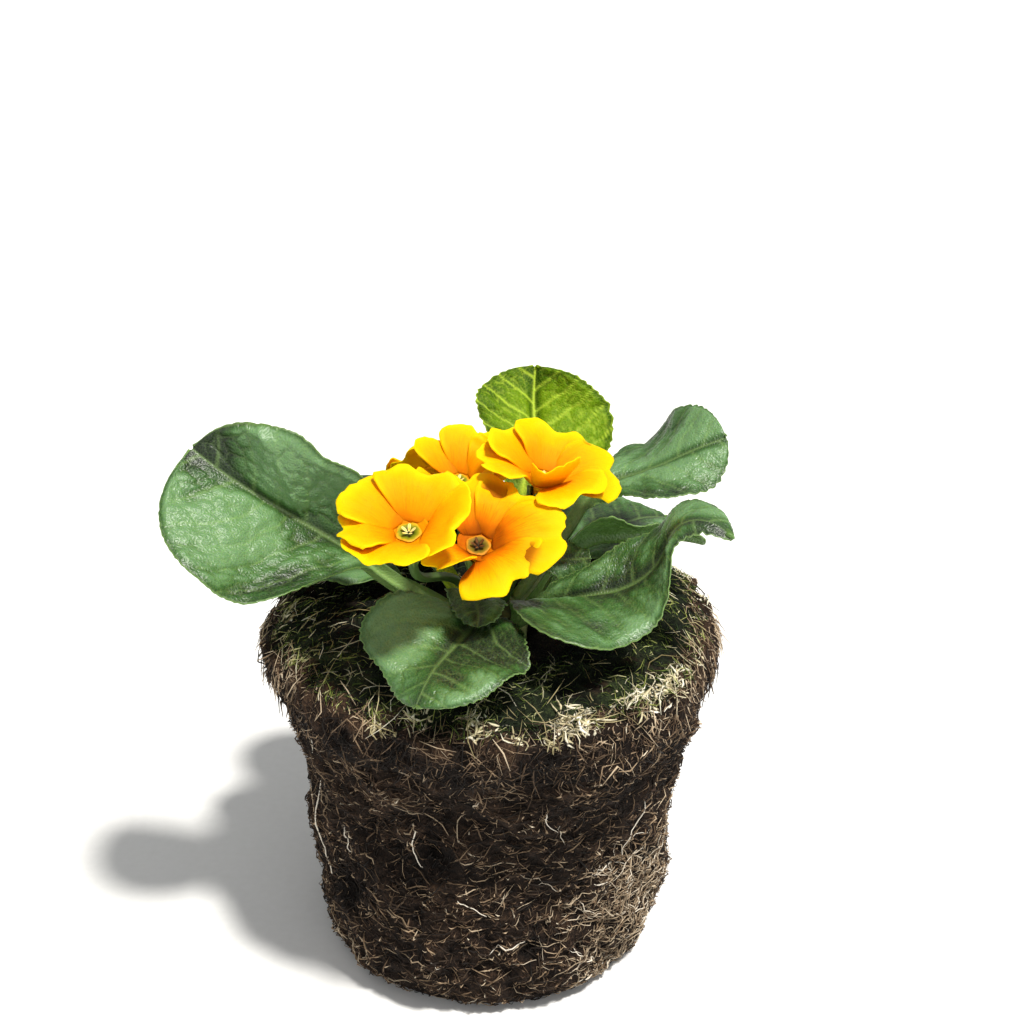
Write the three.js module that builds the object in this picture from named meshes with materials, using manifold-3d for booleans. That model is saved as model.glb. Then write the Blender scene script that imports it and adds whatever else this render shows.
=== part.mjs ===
// A yellow garden primrose standing on its bare root ball, in millimetres.
// The origin is the centre of the flat underside, +Z is up, and -Y is the front.

import * as THREE from 'three';
import { mergeVertices } from 'three/addons/utils/BufferGeometryUtils.js';
import Module from 'manifold-3d';

const wasm = await Module();
wasm.setup();

// Driving dimensions
const SEED = 4715;
const CLEARANCE = 0.35;

const BALL_SIDES = 40;
const BALL_HEIGHT = 96;
const BALL_BASE_RADIUS = 44;
const BALL_BODY_RADIUS = 50.5;
const BALL_RIM_RADIUS = 60;
const BALL_LUMP = 1.1;

const CROWN_RADIUS = 11;
const CROWN_HEIGHT = 94;
const CROWN_DEPTH = 11;

const MOSS_INNER_RADIUS = 25;
const MOSS_THICKNESS = 1.9;
const MOSS_LUMP = 2.8;

const STRAND_COUNT = 9;
const STRAND_RADIUS = 1.1;

const LEAF_THICKNESS = 0.7;
const STALK_HALF_WIDTH = 2.6;
const MARGIN_TOOTH = 0.5;
const MIDRIB_SPREAD = 1.7;

const PETAL_THICKNESS = 0.6;
const PETAL_ROOT_RADIUS = 3.4;
const EYE_RADIUS = 3;
const THROAT_RADIUS = 3.9;
const TUBE_RADIUS = 1.7;
const TUBE_LENGTH = 6;
const CALYX_LENGTH = 10;
const CALYX_RADIUS = 3.1;
const FLOWER_STALK_RADIUS = 1.2;

const PEAT = { color: 0x2e231c, roughness: 1, metalness: 0 };
const MOSS = { color: 0x4a5a30, roughness: 1, metalness: 0 };
const CROWN_GREEN = { color: 0x8fa65a, roughness: 0.7, metalness: 0 };
const DARK_LEAF = { color: 0x2f5a34, roughness: 0.45, metalness: 0 };
const BRIGHT_LEAF = { color: 0x86b81f, roughness: 0.55, metalness: 0 };
const PETAL_YELLOW = { color: 0xffc400, roughness: 0.6, metalness: 0 };
const EYE_GREEN = { color: 0xc2c83a, roughness: 0.6, metalness: 0 };
const CALYX_GREEN = { color: 0x7fa048, roughness: 0.6, metalness: 0 };

// Each leaf is set by its heading and elevation in degrees at five places along it (root of the stalk,
// base of the blade, a third, two thirds and tip), its lengths, its half widths at the base and the
// quarters of the blade, the roll of the blade, and the fold and curl of its left and right halves.
const LEAVES = [
  {
    name: 'leaf_left_large', finish: DARK_LEAF, rows: 12, columns: 8,
    heading: [183, 184, 187, 181, 156], elevation: [29, 42, 35, 36, 33], stalk: 26, blade: 59,
    left: [2.2, 18, 32, 34], right: [2.2, 18, 21, 21], roll: [-29, -55, -38],
    foldLeft: [24, 5], foldRight: [34, 14], curlLeft: 21, curlRight: 42, wave: 1,
  },
  {
    name: 'leaf_front_cupped', finish: DARK_LEAF, rows: 12, columns: 8,
    heading: [260, 268, 244, 256, 246], elevation: [32, 31, -3, 11, -36], stalk: 13, blade: 48,
    left: [2.2, 16, 22, 21], right: [2.2, 18, 24, 14], roll: [-8, -3, 17],
    foldLeft: [32, -15], foldRight: [41, -20], curlLeft: -5, curlRight: -3, wave: 0.8,
  },
  {
    name: 'leaf_front_small', finish: DARK_LEAF, rows: 8, columns: 6,
    heading: [272, 262, 250, 280, 260], elevation: [50, 47, 14, 6, -34], stalk: 11, blade: 22,
    left: [2.2, 7, 7, 7], right: [2.2, 10, 7, 6], roll: [0, 0, 18],
    foldLeft: [6, -1], foldRight: [22, 5], curlLeft: -13, curlRight: -24, wave: 0.4,
  },
  {
    name: 'leaf_right_folded', finish: DARK_LEAF, rows: 14, columns: 8,
    heading: [319, 324, 352, 339, 327], elevation: [36, 36, 14, 79, -48], stalk: 8, blade: 71,
    left: [3, 9, 13, 14], right: [8, 31, 18, 6], roll: [-15, 16, -1],
    foldLeft: [66, -18], foldRight: [29, -38], curlLeft: -7, curlRight: -8, wave: 0.8,
  },
  {
    name: 'leaf_right_small', finish: DARK_LEAF, rows: 8, columns: 6,
    heading: [344, 342, 354, 344, 340], elevation: [48, 66, 0, 12, 16], stalk: 17, blade: 13,
    left: [3, 6, 5.5, 4], right: [3, 5, 5.5, 5], roll: [10, 50, 45],
    foldLeft: [6, -8], foldRight: [4, -12], curlLeft: -20, curlRight: -20, wave: 0.4,
  },
  {
    name: 'leaf_right_dark', finish: DARK_LEAF, rows: 10, columns: 8,
    heading: [8, 14, 5, 9, 14], elevation: [33, 64, -2, -2, -25], stalk: 18, blade: 43,
    left: [2.2, 10, 12, 8], right: [4, 11, 10, 6], roll: [0, 0, 0],
    foldLeft: [0, -10], foldRight: [50, 38], curlLeft: -8, curlRight: 6, wave: 1,
  },
  {
    name: 'leaf_right_upper', finish: DARK_LEAF, rows: 12, columns: 8,
    heading: [28, 22, 5, -2, 1], elevation: [44, 56, 14, 28, 19], stalk: 31, blade: 46,
    left: [2.2, 9, 24, 23], right: [2.2, 8, 16, 16], roll: [30, 8, 52],
    foldLeft: [0, -12], foldRight: [12, 0], curlLeft: -18, curlRight: 0, wave: 0.8,
  },
  {
    name: 'leaf_back_bright', finish: BRIGHT_LEAF, rows: 12, columns: 8,
    heading: [55, 76, 74, 94, 80], elevation: [54, 66, 30, 36, 60], stalk: 26, blade: 43,
    left: [2.2, 9, 15, 18], right: [2.2, 14, 22, 21], roll: [4, 8, -15],
    foldLeft: [-6, 22], foldRight: [-12, 20], curlLeft: 8, curlRight: -6, wave: 1,
  },
  {
    name: 'leaf_back_left', finish: DARK_LEAF, rows: 8, columns: 6,
    heading: [128, 126, 124, 128, 132], elevation: [28, 24, 12, 0, -20], stalk: 20, blade: 52,
    left: [2.2, 15, 20, 18], right: [2.2, 14, 20, 19], roll: [0, 6, 10],
    foldLeft: [22, 4], foldRight: [20, 4], curlLeft: -8, curlRight: -10, wave: 1.3,
  },
  {
    name: 'leaf_side_low', finish: DARK_LEAF, rows: 8, columns: 6,
    heading: [155, 156, 160, 162, 165], elevation: [22, 12, 4, -6, -24], stalk: 18, blade: 40,
    left: [2.2, 11, 15, 13], right: [2.2, 11, 15, 13], roll: [0, -4, -6],
    foldLeft: [18, 4], foldRight: [18, 4], curlLeft: -8, curlRight: -8, wave: 1,
  },
  {
    name: 'leaf_back_right', finish: DARK_LEAF, rows: 8, columns: 6,
    heading: [48, 48, 46, 42, 38], elevation: [22, 12, 6, -4, -22], stalk: 20, blade: 48,
    left: [2.2, 13, 18, 16], right: [2.2, 13, 18, 16], roll: [0, 4, 6],
    foldLeft: [20, 4], foldRight: [20, 4], curlLeft: -10, curlRight: -10, wave: 1.2,
  },
  {
    name: 'leaf_back_middle', finish: DARK_LEAF, rows: 8, columns: 6,
    heading: [92, 90, 90, 92, 94], elevation: [22, 14, 6, -6, -26], stalk: 20, blade: 48,
    left: [2.2, 14, 18, 16], right: [2.2, 14, 18, 16], roll: [0, 0, 0],
    foldLeft: [20, 4], foldRight: [20, 4], curlLeft: -10, curlRight: -10, wave: 1.2,
  },
  {
    name: 'leaf_heart_bright', finish: BRIGHT_LEAF, rows: 8, columns: 6,
    heading: [150, 150, 148, 140, 134], elevation: [48, 56, 50, 30, 0], stalk: 12, blade: 26,
    left: [2.2, 8, 10, 8], right: [2.2, 8, 10, 8], roll: [0, 0, 0],
    foldLeft: [24, 8], foldRight: [24, 8], curlLeft: 10, curlRight: 10, wave: 0.6,
  },
];

// Each flower is set by the place of its eye, the way that it faces, how deep it is cupped, where its
// stalk leaves the crown, and the angle, length, half width and lift of each petal.
const FLOWERS = [
  {
    name: 'flower_front_left', centre: [-19, -37, 142], facing: [262, 68], cup: 1.5, root: [215, 66],
    petals: [[84, 18, 11.5, 0], [-14, 16, 11, 0], [-106, 18, 12, 0], [146, 18.5, 11, 0], [196, 18, 10, 0]],
  },
  {
    name: 'flower_front_right', centre: [-2, -25, 132.5], facing: [276, 64], cup: 1.3, root: [275, 66],
    petals: [[97, 21, 11, 0], [46, 19.5, 10, -1.5], [-4, 23, 11, -2], [-60, 17.5, 13, -2], [-140, 17, 7, 1]],
  },
  {
    name: 'flower_right', centre: [15, -4, 142], facing: [310, 72], cup: 1.4, root: [340, 66],
    petals: [
      [97, 18, 11, 0], [43, 18, 11, 0], [-24, 21.5, 11.5, -4], [-92, 18, 11, 1], [152, 19, 9.5, 0],
      [-118, 9, 6.5, 6],
    ],
  },
  {
    name: 'flower_left_back', centre: [-8, 3, 138], facing: [262, 76], cup: 1.5, root: [130, 66],
    petals: [[118, 15, 8.5, 0], [75, 17, 9.5, 0], [30, 15, 9, 0], [-45, 11, 8, 0], [-140, 11, 8, 0]],
  },
  {
    name: 'flower_back', centre: [-14, 27, 131], facing: [118, 52], cup: 1.2, root: [90, 66],
    petals: [[95, 15, 10, 0], [22, 15, 10, 0], [-50, 15, 10, 0], [-122, 15, 10, 0], [166, 15, 10, 0]],
  },
];

const UP = new THREE.Vector3(0, 0, 1);
const radians = THREE.MathUtils.degToRad;

// A repeatable stream of random numbers from 0 to 1.
function randomStream(seed) {
  let state = seed;
  return () => {
    state = (state + 0x6d2b79f5) | 0;
    let mixed = Math.imul(state ^ (state >>> 15), 1 | state);
    mixed = (mixed + Math.imul(mixed ^ (mixed >>> 7), 61 | mixed)) ^ mixed;
    return ((mixed ^ (mixed >>> 14)) >>> 0) / 4294967296;
  };
}

// The value at x of straight lines through the given places and values.
function alongLines(places, values, x) {
  let last = 1;
  while (last < places.length - 1 && x > places[last]) last += 1;
  const span = places[last] - places[last - 1];
  const share = THREE.MathUtils.clamp((x - places[last - 1]) / span, 0, 1);
  return THREE.MathUtils.lerp(values[last - 1], values[last], share);
}

// The value at x, from 0 to 1, of a smooth curve through evenly spaced values.
function alongCurve(values, x) {
  const points = values.map((value) => new THREE.Vector2(0, value));
  return new THREE.SplineCurve(points).getPoint(THREE.MathUtils.clamp(x, 0, 1)).y;
}

// The unit direction with a heading round +Z and an elevation, both in degrees.
function direction(heading, elevation) {
  const level = Math.cos(radians(elevation));
  return new THREE.Vector3(
    level * Math.cos(radians(heading)),
    level * Math.sin(radians(heading)),
    Math.sin(radians(elevation)),
  );
}

function geometryOf(points, triangles) {
  const geometry = new THREE.BufferGeometry();
  geometry.setAttribute('position', new THREE.Float32BufferAttribute(points.flatMap((p) => p.toArray()), 3));
  geometry.setIndex(triangles);
  return geometry;
}

// A closed sheet between two grids of points, split into triangles alike on both faces.
function sheetGeometry(upper, lower) {
  const rows = upper.length;
  const columns = upper[0].length;
  const top = (i, j) => i * columns + j;
  const under = (i, j) => rows * columns + i * columns + j;
  const triangles = [];
  for (let i = 0; i < rows - 1; i += 1) {
    for (let j = 0; j < columns - 1; j += 1) {
      triangles.push(top(i, j), top(i + 1, j), top(i + 1, j + 1));
      triangles.push(top(i, j), top(i + 1, j + 1), top(i, j + 1));
      triangles.push(under(i, j), under(i + 1, j + 1), under(i + 1, j));
      triangles.push(under(i, j), under(i, j + 1), under(i + 1, j + 1));
    }
    const end = columns - 1;
    triangles.push(top(i, 0), under(i, 0), under(i + 1, 0), top(i, 0), under(i + 1, 0), top(i + 1, 0));
    triangles.push(top(i, end), under(i + 1, end), under(i, end));
    triangles.push(top(i, end), top(i + 1, end), under(i + 1, end));
  }
  for (let j = 0; j < columns - 1; j += 1) {
    const end = rows - 1;
    triangles.push(top(0, j), top(0, j + 1), under(0, j + 1), top(0, j), under(0, j + 1), under(0, j));
    triangles.push(top(end, j), under(end, j + 1), top(end, j + 1));
    triangles.push(top(end, j), under(end, j), under(end, j + 1));
  }
  return geometryOf([...upper.flat(), ...lower.flat()], triangles);
}

// A closed skin through rings of equally many points, capped at both ends by fans.
function ringGeometry(rings) {
  const count = rings[0].length;
  const points = rings.flat();
  const triangles = [];
  for (let i = 0; i < rings.length - 1; i += 1) {
    for (let j = 0; j < count; j += 1) {
      const next = (j + 1) % count;
      const near = i * count;
      const far = near + count;
      triangles.push(near + j, near + next, far + next, near + j, far + next, far + j);
    }
  }
  const first = points.length;
  const middle = (ring) => ring.reduce((sum, p) => sum.add(p), new THREE.Vector3()).divideScalar(count);
  points.push(middle(rings[0]), middle(rings[rings.length - 1]));
  const lastRing = (rings.length - 1) * count;
  for (let j = 0; j < count; j += 1) {
    const next = (j + 1) % count;
    triangles.push(first, next, j, first + 1, lastRing + j, lastRing + next);
  }
  return geometryOf(points, triangles);
}

// A solid that booleans can use, from a closed geometry.
function solidOf(geometry) {
  const bare = geometry.clone();
  bare.deleteAttribute('normal');
  bare.deleteAttribute('uv');
  const merged = mergeVertices(bare, 1e-5);
  return new wasm.Manifold(new wasm.Mesh({
    numProp: 3,
    vertProperties: new Float32Array(merged.attributes.position.array),
    triVerts: new Uint32Array(merged.index.array),
  }));
}

function geometryOfSolid(solid) {
  const mesh = solid.getMesh();
  const geometry = new THREE.BufferGeometry();
  geometry.setAttribute('position', new THREE.Float32BufferAttribute(mesh.vertProperties, 3));
  geometry.setIndex(Array.from(mesh.triVerts));
  return geometry;
}

function fused(geometries) {
  const solids = geometries.map(solidOf);
  return geometryOfSolid(solids.slice(1).reduce((sum, solid) => sum.add(solid), solids[0]));
}

function namedMesh(name, geometry, finish) {
  const mesh = new THREE.Mesh(geometry, new THREE.MeshStandardMaterial(finish));
  mesh.name = name;
  return mesh;
}

// The unit normals of a grid of points, from the neighbours of each.
function gridNormals(grid) {
  return grid.map((row, i) => row.map((point, j) => {
    const before = grid[Math.max(i - 1, 0)][j];
    const after = grid[Math.min(i + 1, grid.length - 1)][j];
    const along = new THREE.Vector3().subVectors(after, before);
    const right = row[Math.max(j - 1, 0)];
    const left = row[Math.min(j + 1, row.length - 1)];
    const across = new THREE.Vector3().subVectors(left, right);
    return along.cross(across).normalize();
  }));
}

// A sheet whose upper face is the grid, with the given thickness at each place of it.
function thickSheet(grid, thickness) {
  const normals = gridNormals(grid);
  const lower = grid.map((row, i) => row.map((point, j) => (
    point.clone().addScaledVector(normals[i][j], -thickness(i, j))
  )));
  return sheetGeometry(grid, lower);
}

// Root ball: the outline from the flat base over the shoulder and down into the hole for the crown.
const BALL_OUTLINE = [
  [BALL_BASE_RADIUS, 0],
  [47.5, 4],
  [49.8, 12],
  [50.8, 24],
  [50, 36],
  [BALL_BODY_RADIUS, 48],
  [51.5, 57],
  [53.6, 66],
  [57, 74],
  [BALL_RIM_RADIUS - 0.8, 82],
  [BALL_RIM_RADIUS, 88],
  [BALL_RIM_RADIUS - 1, 93],
  [BALL_RIM_RADIUS - 6, 95.5],
  [38, BALL_HEIGHT],
  [MOSS_INNER_RADIUS, 95.6],
  [14, 95],
];
const SHOULDER_START = 9;
const SHOULDER_END = 14;
const HOLE_OUTLINE = [
  [CROWN_RADIUS + 2 * CLEARANCE, CROWN_HEIGHT],
  [CROWN_RADIUS + CLEARANCE, CROWN_HEIGHT - CROWN_DEPTH - CLEARANCE],
];

// How far the peat stands out at a heading and height: broad lumps, and more flare on the right side.
function peatLump(angle, height) {
  const broad = Math.sin(3 * angle + height / 17) + 0.7 * Math.sin(5 * angle - height / 11 + 1.3);
  const fine = 0.6 * Math.sin(11 * angle + height / 6) + 0.5 * Math.sin(8 * angle - height / 4.5 + 2);
  const belt = THREE.MathUtils.clamp((height - 45) / 42, 0, 1);
  const flare = 1.9 * Math.cos(angle - 0.3) * Math.sin(Math.PI * belt);
  const lean = 1.4 * Math.cos(angle) * THREE.MathUtils.smoothstep(height, 60, 84);
  return BALL_LUMP * (broad + fine) * THREE.MathUtils.clamp(height / 8, 0, 1) + flare + lean;
}

function ringPoint(radius, height, side) {
  const angle = (2 * Math.PI * side) / BALL_SIDES;
  return new THREE.Vector3(radius * Math.cos(angle), radius * Math.sin(angle), height);
}

function peatPoint(place, side, offset = 0) {
  const [radius, height] = BALL_OUTLINE[place];
  const angle = (2 * Math.PI * side) / BALL_SIDES;
  const share = THREE.MathUtils.clamp((radius - 30) / 20, 0, 1);
  return ringPoint(radius + share * peatLump(angle, height) + offset, height, side);
}

const everySide = Array.from({ length: BALL_SIDES }, (unused, side) => side);

// One three-sided root strand that wanders round the side of the ball, half sunk in it.
function rootStrand(random) {
  const start = random() * Math.PI * 2;
  const height = 8 + random() * 68;
  const sweep = (0.25 + random() * 0.45) * (random() < 0.5 ? -1 : 1);
  const drop = (random() - 0.5) * 26;
  const knots = [];
  for (let i = 0; i <= 5; i += 1) {
    const share = i / 5;
    const z = THREE.MathUtils.clamp(height + drop * share + 2.5 * Math.sin(4 * share + start), 5, 80);
    const angle = start + sweep * share;
    const places = BALL_OUTLINE.slice(0, SHOULDER_START + 1);
    const radius = alongLines(places.map((p) => p[1]), places.map((p) => p[0]), z) + peatLump(angle, z);
    const sunk = i === 0 || i === 5 ? 1.6 : 0.1;
    knots.push(new THREE.Vector3((radius - sunk) * Math.cos(angle), (radius - sunk) * Math.sin(angle), z));
  }
  const curve = new THREE.CatmullRomCurve3(knots);
  const section = new THREE.Shape([0, 1, 2].map((corner) => new THREE.Vector2(
    STRAND_RADIUS * Math.cos((2 * Math.PI * corner) / 3),
    STRAND_RADIUS * Math.sin((2 * Math.PI * corner) / 3),
  )));
  return new THREE.ExtrudeGeometry(section, { steps: 5, extrudePath: curve });
}

function rootBall() {
  const rings = BALL_OUTLINE.map((unused, place) => everySide.map((side) => peatPoint(place, side)));
  HOLE_OUTLINE.forEach(([radius, height]) => {
    rings.push(everySide.map((side) => ringPoint(radius, height, side)));
  });
  const random = randomStream(SEED);
  const strands = Array.from({ length: STRAND_COUNT }, () => rootStrand(random));
  return namedMesh('root_ball', fused([ringGeometry(rings), ...strands]), PEAT);
}

// The moss collar lies over the shoulder of the root ball: its inner face follows the peat.
function mossCollar() {
  const places = [];
  for (let place = SHOULDER_START; place <= SHOULDER_END; place += 1) places.push(place);
  const random = randomStream(SEED + 1);
  const section = (side) => {
    const inner = places.map((place) => {
      const share = (place - SHOULDER_START) / (SHOULDER_END - SHOULDER_START);
      const lift = CLEARANCE * 1.6 * Math.sin((Math.PI / 2) * share);
      return peatPoint(place, side, CLEARANCE * 1.4 * (1 - share)).addScaledVector(UP, lift + 0.1);
    });
    const outer = places.map((place, i) => {
      const share = i / (places.length - 1);
      const tuft = random() ** 1.5;
      const thickness = (MOSS_THICKNESS + MOSS_LUMP * tuft) * Math.sin(Math.PI * (0.12 + 0.76 * share));
      const out = thickness * Math.cos((Math.PI / 2) * share);
      const lift = 0.6 * (1 - share) + thickness * Math.sin((Math.PI / 2) * share);
      const offset = CLEARANCE * 1.4 * (1 - share) + out;
      return peatPoint(place, side, offset).addScaledVector(UP, lift + CLEARANCE);
    });
    return [...inner, ...outer.reverse()];
  };
  const sections = everySide.map(section);
  const count = sections[0].length;
  const triangles = [];
  for (let i = 0; i < BALL_SIDES; i += 1) {
    const near = i * count;
    const far = ((i + 1) % BALL_SIDES) * count;
    for (let j = 0; j < count; j += 1) {
      const next = (j + 1) % count;
      triangles.push(near + j, near + next, far + next, near + j, far + next, far + j);
    }
  }
  return namedMesh('moss_collar', geometryOf(sections.flat(), triangles), MOSS);
}

// The crown is a short stock with a domed head, standing in its hole.
function crown() {
  const outline = [new THREE.Vector2(0, CROWN_HEIGHT - CROWN_DEPTH)];
  outline.push(new THREE.Vector2(CROWN_RADIUS - 1, CROWN_HEIGHT - CROWN_DEPTH));
  for (let step = 0; step <= 5; step += 1) {
    const angle = (Math.PI / 2) * (step / 5);
    const radius = step === 5 ? 0 : CROWN_RADIUS * Math.cos(angle);
    outline.push(new THREE.Vector2(radius, CROWN_HEIGHT + CROWN_RADIUS * Math.sin(angle)));
  }
  const geometry = new THREE.LatheGeometry(outline, 20);
  geometry.rotateX(Math.PI / 2);
  return namedMesh('crown', geometryOfSolid(solidOf(geometry)), CROWN_GREEN);
}

// A point just clear of the domed head of the crown, for a stalk that leaves it that way.
function crownPoint(heading, elevation) {
  const reach = CROWN_RADIUS + CLEARANCE;
  return direction(heading, elevation).multiplyScalar(reach).addScaledVector(UP, CROWN_HEIGHT);
}

// The half width of one side of a blade at v, from 0 at its base to 1 at its tip.
function bladeHalfWidth(keys, v) {
  const roundFrom = 0.6;
  const beyond = Math.max(0, (v - roundFrom) / (1 - roundFrom));
  const width = alongCurve([...keys, keys[keys.length - 1]], v);
  return Math.max(0.7, width * Math.sqrt(Math.max(0, 1 - beyond * beyond)));
}

// The midrib of a leaf as a list of points with their directions, from its headings and elevations.
function midrib(leaf, steps = 60) {
  const total = leaf.stalk + leaf.blade;
  const base = leaf.stalk / total;
  const places = [0, base, base + (1 - base) / 3, base + (2 * (1 - base)) / 3, 1];
  const headingAt = (u) => alongLines(places, leaf.heading, u);
  const elevationAt = (u) => alongLines(places, leaf.elevation, u);
  const points = [crownPoint(leaf.heading[0], leaf.elevation[0])];
  for (let step = 0; step < steps; step += 1) {
    const u = (step + 0.5) / steps;
    const stride = direction(headingAt(u), elevationAt(u)).multiplyScalar(total / steps);
    points.push(points[step].clone().add(stride));
  }
  const pointAt = (u) => {
    const place = Math.min(u * steps, steps - 1e-6);
    const step = Math.floor(place);
    return points[step].clone().lerp(points[step + 1], place - step);
  };
  return { base, headingAt, elevationAt, pointAt };
}

// One leaf: a winged stalk that widens into the blade, thickened along its midrib.
function leafMesh(leaf) {
  const rib = midrib(leaf);
  const stalkRows = leaf.stalk > 14 ? 4 : 3;
  const places = [];
  for (let i = 0; i < stalkRows; i += 1) places.push((rib.base * i) / stalkRows);
  for (let i = 0; i <= leaf.rows; i += 1) {
    places.push(rib.base + (1 - rib.base) * (1 - (1 - i / leaf.rows) ** 1.4));
  }
  const halfWidths = [];
  const grid = places.map((u, row) => {
    const v = Math.max(0, (u - rib.base) / (1 - rib.base));
    const stalkShare = Math.min(1, u / rib.base);
    const forward = direction(rib.headingAt(u), rib.elevationAt(u));
    const level = new THREE.Vector3().crossVectors(UP, forward).normalize();
    const rolled = stalkShare * alongLines([0, 0.5, 1], leaf.roll, v);
    const sideways = level.applyAxisAngle(forward, radians(rolled));
    const raised = new THREE.Vector3().crossVectors(forward, sideways);
    const centre = rib.pointAt(u);
    const widthOf = (keys) => (
      v > 0 ? bladeHalfWidth(keys, v) : THREE.MathUtils.lerp(STALK_HALF_WIDTH, keys[0], stalkShare ** 2)
    );
    const tooth = v > 0.05 && v < 0.97 ? MARGIN_TOOTH * (row % 2 === 0 ? 1 : -1) : 0;
    halfWidths.push([widthOf(leaf.right), widthOf(leaf.left)]);
    const points = [];
    for (let column = 0; column <= leaf.columns; column += 1) {
      const across = (2 * column) / leaf.columns - 1;
      const isLeft = across > 0;
      const share = Math.abs(across);
      const foldKeys = isLeft ? leaf.foldLeft : leaf.foldRight;
      const fold = radians(stalkShare * THREE.MathUtils.lerp(foldKeys[0], foldKeys[1], v));
      const curl = radians(stalkShare * (isLeft ? leaf.curlLeft : leaf.curlRight));
      const width = halfWidths[row][isLeft ? 1 : 0] + (share === 1 ? tooth : 0);
      const lean = fold + (curl * share) / 2;
      const ripple = leaf.wave * share ** 3 * Math.sin(Math.PI * 6 * v + (isLeft ? 0 : 1.6));
      const out = Math.sign(across) * share * width * Math.cos(lean);
      const up = share * width * Math.sin(lean) + (v > 0 ? ripple * Math.min(1, 4 * (1 - v)) : 0);
      points.push(centre.clone().addScaledVector(sideways, out).addScaledVector(raised, up));
    }
    return points;
  });
  const thickness = (i, j) => {
    const across = (2 * j) / leaf.columns - 1;
    const distance = Math.abs(across) * halfWidths[i][across > 0 ? 1 : 0];
    const depth = THREE.MathUtils.lerp(2, 0.4, places[i]);
    return LEAF_THICKNESS + depth * Math.exp(-((distance / MIDRIB_SPREAD) ** 2));
  };
  return namedMesh(leaf.name, thickSheet(grid, thickness), leaf.finish);
}

// The matrix that takes a flower's own frame, facing +Z with +Y upwards, to its place on the plant.
function flowerPlacement(flower) {
  const facing = direction(...flower.facing);
  const across = new THREE.Vector3().crossVectors(UP, facing).normalize();
  const upward = new THREE.Vector3().crossVectors(facing, across);
  return new THREE.Matrix4().makeBasis(across, upward, facing).setPosition(...flower.centre);
}

// One notched petal that rises from the throat and flattens, tilted so that its left edge lies over
// the next petal.
function petalGeometry([angle, length, halfWidth, lift], cup) {
  const acrossPlaces = [-1, -0.66, -0.3, 0, 0.3, 0.66, 1];
  const alongPlaces = [0, 0.22, 0.48, 0.75, 1];
  const grid = alongPlaces.map((s) => acrossPlaces.map((t) => {
    const notch = 2.1 * Math.exp(-((t / 0.24) ** 2));
    const reach = length * (1 - 0.34 * Math.abs(t) ** 2.6) - notch * s;
    const radius = PETAL_ROOT_RADIUS + s * (reach - PETAL_ROOT_RADIUS);
    const width = THREE.MathUtils.lerp(1.9, halfWidth, Math.sin((Math.PI / 2) * s ** 0.9));
    const rise = cup * (0.5 * s - 0.28 * s * s) * length + lift * s;
    const overlap = 0.95 * t * Math.sin(Math.PI * Math.min(0.5, s));
    return new THREE.Vector3(radius, t * width, rise + overlap);
  }));
  const petal = thickSheet(grid, () => PETAL_THICKNESS);
  petal.rotateZ(radians(angle));
  return petal;
}

// The corolla is five petals grown into a solid throat and tube.
function corollaGeometry(flower) {
  const outline = [
    [0, -TUBE_LENGTH],
    [TUBE_RADIUS, -TUBE_LENGTH],
    [TUBE_RADIUS, -2.6],
    [THROAT_RADIUS, -0.8],
    [THROAT_RADIUS, -0.1],
    [EYE_RADIUS + CLEARANCE, -0.1],
    [EYE_RADIUS - 0.6, -0.7],
    [0, -0.7],
  ];
  const throat = new THREE.LatheGeometry(outline.map(([x, y]) => new THREE.Vector2(x, y)), 10);
  throat.rotateX(Math.PI / 2);
  const petals = flower.petals.map((petal) => petalGeometry(petal, flower.cup));
  return fused([throat, ...petals]);
}

// The eye is a shallow disc over the mouth of the tube, with five anthers standing on it.
function eyeGeometry() {
  const outline = [
    [0, -0.3],
    [EYE_RADIUS - 0.9, -0.3],
    [EYE_RADIUS, 0.35],
    [EYE_RADIUS - 0.7, 0.6],
    [0, 0.3],
  ];
  const disc = new THREE.LatheGeometry(outline.map(([x, y]) => new THREE.Vector2(x, y)), 10);
  disc.rotateX(Math.PI / 2);
  const anthers = [];
  for (let i = 0; i < 5; i += 1) {
    const anther = new THREE.OctahedronGeometry(0.62);
    anther.scale(1, 1, 1.7);
    anther.translate(1.25, 0, 0.9);
    anther.rotateZ((2 * Math.PI * i) / 5);
    anthers.push(anther);
  }
  return fused([disc, ...anthers]);
}

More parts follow.
